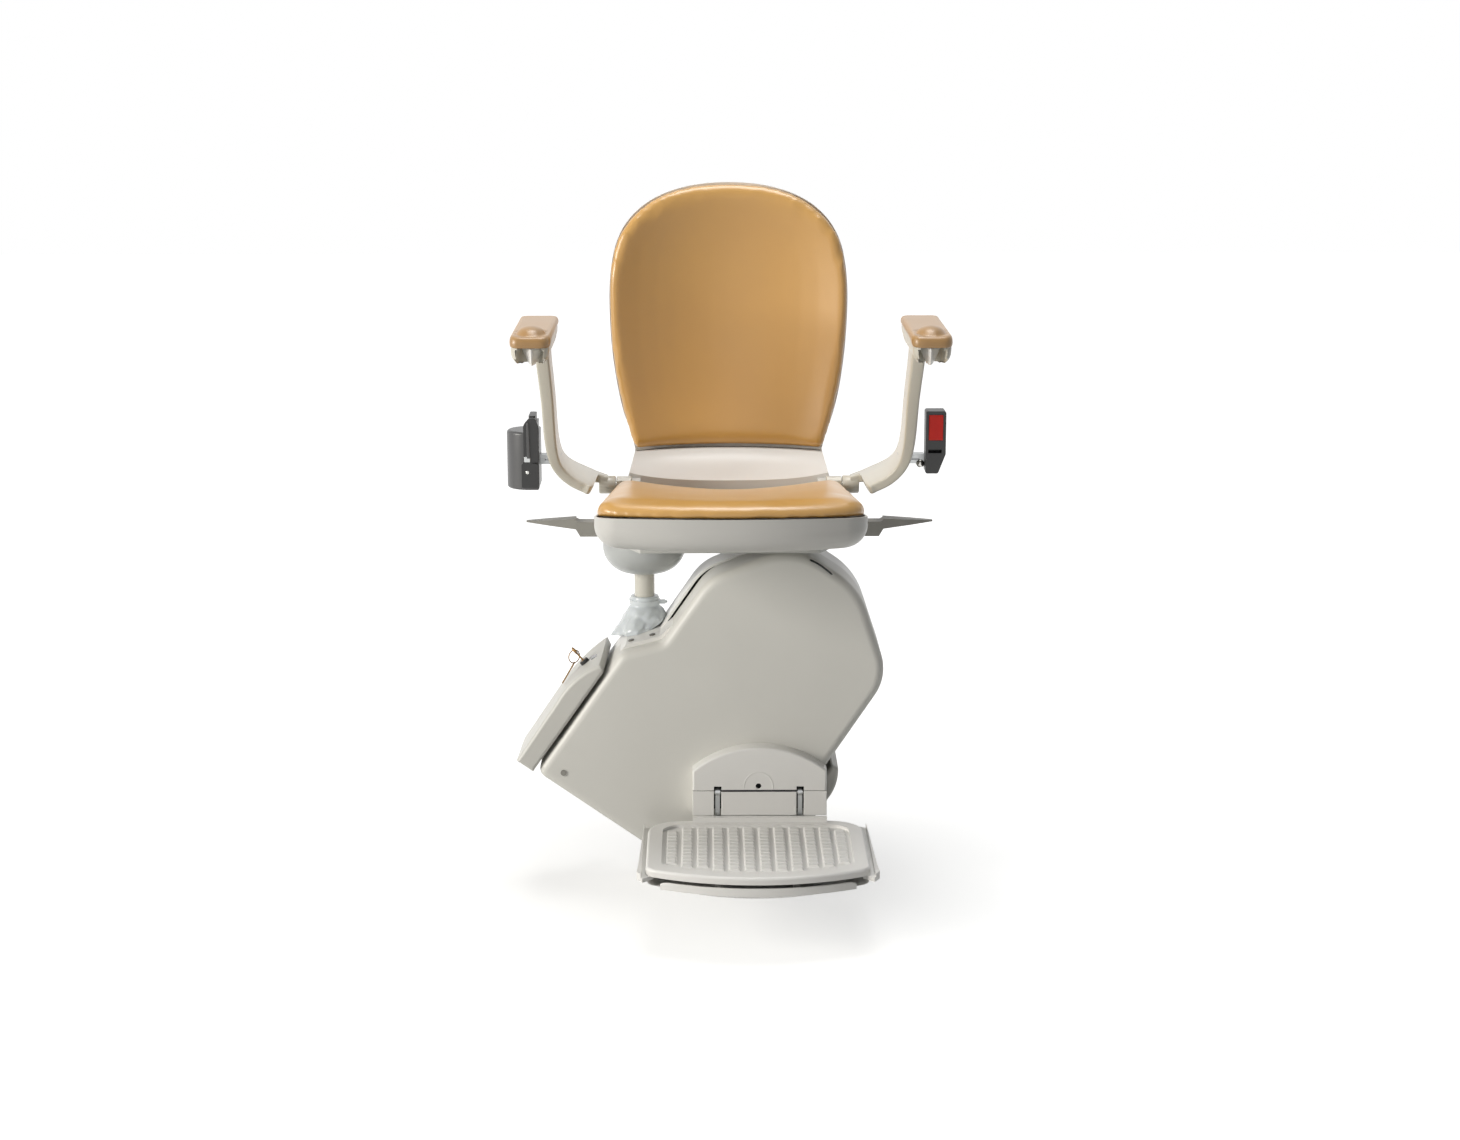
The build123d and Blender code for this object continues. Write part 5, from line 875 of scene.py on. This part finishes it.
def plate(name, outline, depths, finish, round_mm, body, slot):
    """A flat piece drawn from the front in x and z, between two depths."""
    count = len(outline)
    points = [(x, y, z) for y in depths for x, z in outline]
    faces = [tuple(range(count)), tuple(range(2 * count - 1, count - 1, -1))]
    faces += [(k, (k + 1) % count, count + (k + 1) % count, count + k) for k in range(count)]
    piece = piece_from(name, points, faces, finish, 30.0)
    edge = piece.modifiers.new("round", "BEVEL")
    edge.width, edge.segments, edge.limit_method = round_mm * MM, 3, "ANGLE"
    return settle(piece, body, slot)


def turned(name, centre, axis, rows, finish, body, slot):
    """A lathe-turned piece: each row is a radius and a height along the axis."""
    axis = Vector(axis).normalized()
    side = axis.orthogonal().normalized()
    lift = axis.cross(side)
    rings = []
    for radius, height in rows:
        rings.append([tuple(Vector(centre) + axis * height + side * radius * cos(pi * k / 14)
                            + lift * radius * sin(pi * k / 14)) for k in range(28)])
    return settle(lofted(name, rings, finish, sharp=40.0), body, slot)


# %% [markdown]
# The belt's reel has a guide plate that the tongue parks in, and under it a block with a screw. The
# buckle's bracket ends in a domed nut. In the seam of the footrest's covers a thin black plate is
# painted shade, standing for the shadowed hinge bay behind it, and above it is the rim of a round recess.

# %% Small parts
FRONT = (0.0, -1.0, 0.0)
guide = rounded([(-207.0, 446.0), (-207.0, 497.0), (-199.0, 506.0), (-191.0, 506.0), (-186.5, 494.0),
                 (-186.5, 446.0)], [2.0, 4.0, 3.0, 3.0, 4.0, 2.0], 3)
plate("reel_guide", guide, (-165.0, -160.2), black_abs_and_painted_shade, 1.0, "arm_left", "black_plastic")
ridge = rounded([(-202.5, 452.0), (-202.5, 499.0), (-199.5, 501.0), (-198.0, 452.0)], [1.0] * 4, 2)
plate("reel_guide_ridge", ridge, (-167.0, -165.0), reel_abs, 0.8, "arm_left", "black_plastic")
block = rounded([(-210.0, 412.0), (-210.0, 444.0), (-206.0, 448.0), (-186.5, 444.0), (-186.5, 412.0)],
                [2.0, 2.0, 2.0, 3.0, 3.0], 3)
plate("reel_block", block, (-164.0, -160.2), black_abs_and_painted_shade, 1.0, "arm_left", "black_plastic")
plate("reel_strap_clip", rounded([(-206.0, 447.0), (-206.0, 454.0), (-198.0, 455.0), (-198.0, 447.0)],
                                 [1.0] * 4, 2), (-166.4, -165.0), zinc, 0.5, "arm_left", "bright_steel")
turned("reel_screw", (-202.0, -164.0, 433.0), FRONT,
       [(2.2, 0.0), (2.2, 0.8), (1.6, 1.2), (1.0, 1.2), (0.8, 0.5)],
       turned_steel, "arm_left", "bright_steel")
turned("buckle_nut", (323.0, -118.0, 437.7), FRONT,
       [(5.5, 0.0), (5.5, 9.5), (4.6, 11.5), (2.6, 13.0), (0.6, 13.5)],
       turned_steel, "arm_right", "bright_steel")
SEAM_LEFT, SEAM_RIGHT, COVER_FRONT = 55.0, 157.0, -190.0
# Painted shade: a thin black plate in the covers' seam stands for the shadow of the hinge bay behind it
plate("hinge_bay_painted_shade", [(SEAM_LEFT, -2.4), (SEAM_LEFT, 0.3), (SEAM_RIGHT, 0.3), (SEAM_RIGHT, -2.4)],
      (COVER_FRONT - 0.4, COVER_FRONT + 1.0), black_abs_and_painted_shade, 0.15, "carriage", "black_plastic")
RECESS_RADIUS, HOLE_X, HOLE_Z = 19.5, 105.4, 5.5
recess = [(HOLE_X + RECESS_RADIUS * cos(radians(a)), COVER_FRONT - 0.1,
           HOLE_Z + RECESS_RADIUS * sin(radians(a))) for a in range(-15, 196, 7)]
settle(tube("recess_rim", recess, 0.5, white_abs, closed=False), "carriage", "cover_white")
print("small parts of", len(block), len(guide), "and", len(ridge), "corners placed")

# %% [markdown]
# The dome's right shoulder has a slot, and its shade is painted as a black strip. The strip follows the
# cover: rays from the camera find the skin that it lies on, and it is lifted off that skin by less than a
# millimetre.

# %% Painted shade in slots


def painted_shade_strip(name, node, path, half_width, lift_mm):
    """A black strip of painted shade that lies on a piece's skin along a path of points given near it."""
    target = nodes[node]
    inverse = target.matrix_world.inverted()
    rows = []
    for k, here in enumerate(path):
        here = Vector(here)
        run = (Vector(path[min(k + 1, len(path) - 1)]) - Vector(path[max(k - 1, 0)])).normalized()
        across = run.cross(look).normalized()
        width = half_width * (1.0 if 0 < k < len(path) - 1 else 0.5)
        row = []
        for side in (-1.0, 0.0, 1.0):
            aim = (here + across * side * width) * MM
            start = inverse @ camera.location
            way = (inverse @ aim - start).normalized()
            found, spot, _, _ = target.ray_cast(start, way)
            spot = target.matrix_world @ spot if found else aim
            row.append(tuple((spot - look * lift_mm * MM) / MM))
        rows.append(row)
    points = [p for row in rows for p in row]
    faces = [(3 * k + i, 3 * k + i + 1, 3 * k + i + 4, 3 * k + i + 3)
             for k in range(len(rows) - 1) for i in (0, 1)]
    settle(piece_from(name, points, faces, black_abs_and_painted_shade), "carriage", "black_plastic")


# Painted shade: the slot on the dome's shoulder is a black strip laid on the cover
slot_path = spline_points([(176.0, -110.0, 302.0), (187.0, -110.0, 296.5), (197.0, -110.0, 289.5),
                           (207.0, -110.0, 281.0)], 4)
painted_shade_strip("dome_slot_painted_shade", "front_cover", slot_path, 1.3, 0.4)
print("dark slot of", len(slot_path), "points placed")

# %% [markdown]
# The plain frame pieces get a small round on their sharp edges, as every mould and press leaves one.

# %% Rounded edges
EDGE_ROUND = {"lever_left": 1.4, "lever_right": 1.4, "pan_flap_left": 1.4, "pan_flap_right": 1.4,
              "footrest_arch_cover": 0.8, "footrest_apron": 0.8, "seat_frame": 1.2, "buckle_body": 1.2,
              "belt_reel": 1.0, "upper_end_cover": 1.5, "hinge_blocks": 1.0}
EDGE_ANGLE = radians(40)
for name, width in EDGE_ROUND.items():
    weld = nodes[name].modifiers.new("weld", "WELD")
    weld.merge_threshold = WELD
    edge = nodes[name].modifiers.new("round", "BEVEL")
    edge.width, edge.segments = width * MM, 3
    edge.limit_method, edge.angle_limit = "ANGLE", EDGE_ANGLE
    edge.harden_normals = True
print("edges rounded on", len(EDGE_ROUND), "pieces")

# %% [markdown]
# A big soft key light stands on the left, not much higher than the armrests, so the hollow of the back
# is dark on its left and pale on its right. A weaker one hangs overhead. The white backdrop is what the
# camera and shiny things see of the world; it lights the chair much less than it shows.

# %% Light and backdrop
AMBIENT = 0.07


def lamp(name, place, size, power, tint="#FFFFFF"):
    """A square soft light that looks at the chair."""
    data = bpy.data.lights.new(name, "AREA")
    data.size, data.energy, data.color = size, power, linear(tint)[:3]
    light = bpy.data.objects.new(name, data)
    light.location = place
    light.rotation_euler = (AIM - Vector(place)).to_track_quat("-Z", "Y").to_euler()
    bpy.context.scene.collection.objects.link(light)


lamp("key", (-2.95, -1.65, 1.3), 1.3, 94.0, "#FFFBF4")
lamp("overhead", (0.1, -0.15, 2.9), 1.5, 46.0)
lamp("front", (-0.3, -3.4, 0.9), 1.8, 5.0)


def seen_directly(tree):
    """1 for rays that come from the camera or from a shiny or clear surface, else 0."""
    path = add_node(tree, "ShaderNodeLightPath")
    either = add_node(tree, "ShaderNodeMath", {"operation": "MAXIMUM"},
                      {0: path.outputs["Is Camera Ray"], 1: path.outputs["Is Glossy Ray"]})
    return add_node(tree, "ShaderNodeMath", {"operation": "MAXIMUM"},
                    {0: either.outputs[0], 1: path.outputs["Is Transmission Ray"]}).outputs[0]


world = bpy.data.worlds.new("backdrop")
world.use_nodes = True
bpy.context.scene.world = world
backdrop = next(n for n in world.node_tree.nodes if n.type == "BACKGROUND")
backdrop.inputs["Color"].default_value = linear("#FFFFFF")
level = add_node(world.node_tree, "ShaderNodeMapRange",
                 inputs={"Value": seen_directly(world.node_tree), "To Min": AMBIENT, "To Max": 1.0})
world.node_tree.links.new(level.outputs["Result"], backdrop.inputs["Strength"])
print("backdrop lights at", AMBIENT, "and shows white")

# %% [markdown]
# The floor is a pale sheet. It keeps the shadow under the footrest, and glows more with its distance
# from the chair, for the camera only, so that it runs into the white backdrop without a horizon.

# %% Floor
FLOOR_Z, FLOOR_HALF = -162.0, 9000.0
GLOW_NEAR, GLOW_FAR = 0.56, 1.0
GLOW_START, GLOW_STOP = 0.25, 1.1       # metres from the chair
floor_paint, floor_tree, floor_shader, floor_place = new_finish("studio_floor")
floor_tree.links.new(mottle(floor_tree, floor_place, "#C9C9C7", "#CCCCCA", 400.0),
                     floor_shader.inputs["Base Color"])
floor_shader.inputs["Roughness"].default_value = 0.9
floor_shader.inputs["Emission Color"].default_value = linear("#FFFFFF")
away = add_node(floor_tree, "ShaderNodeVectorMath", {"operation": "LENGTH"}, {0: floor_place})
glow = add_node(floor_tree, "ShaderNodeMapRange",
                inputs={"Value": away.outputs["Value"], "From Min": GLOW_START, "From Max": GLOW_STOP,
                        "To Min": GLOW_NEAR, "To Max": GLOW_FAR})
shown = add_node(floor_tree, "ShaderNodeMath", {"operation": "MULTIPLY"},
                 {0: glow.outputs["Result"], 1: seen_directly(floor_tree)})
floor_tree.links.new(shown.outputs[0], floor_shader.inputs["Emission Strength"])
floor = piece_from("floor", [(a * FLOOR_HALF, b * FLOOR_HALF, FLOOR_Z)
                             for a, b in ((-1, -1), (1, -1), (1, 1), (-1, 1))],
                   [(0, 1, 2, 3)], floor_paint)
print("floor at", FLOOR_Z, "mm")
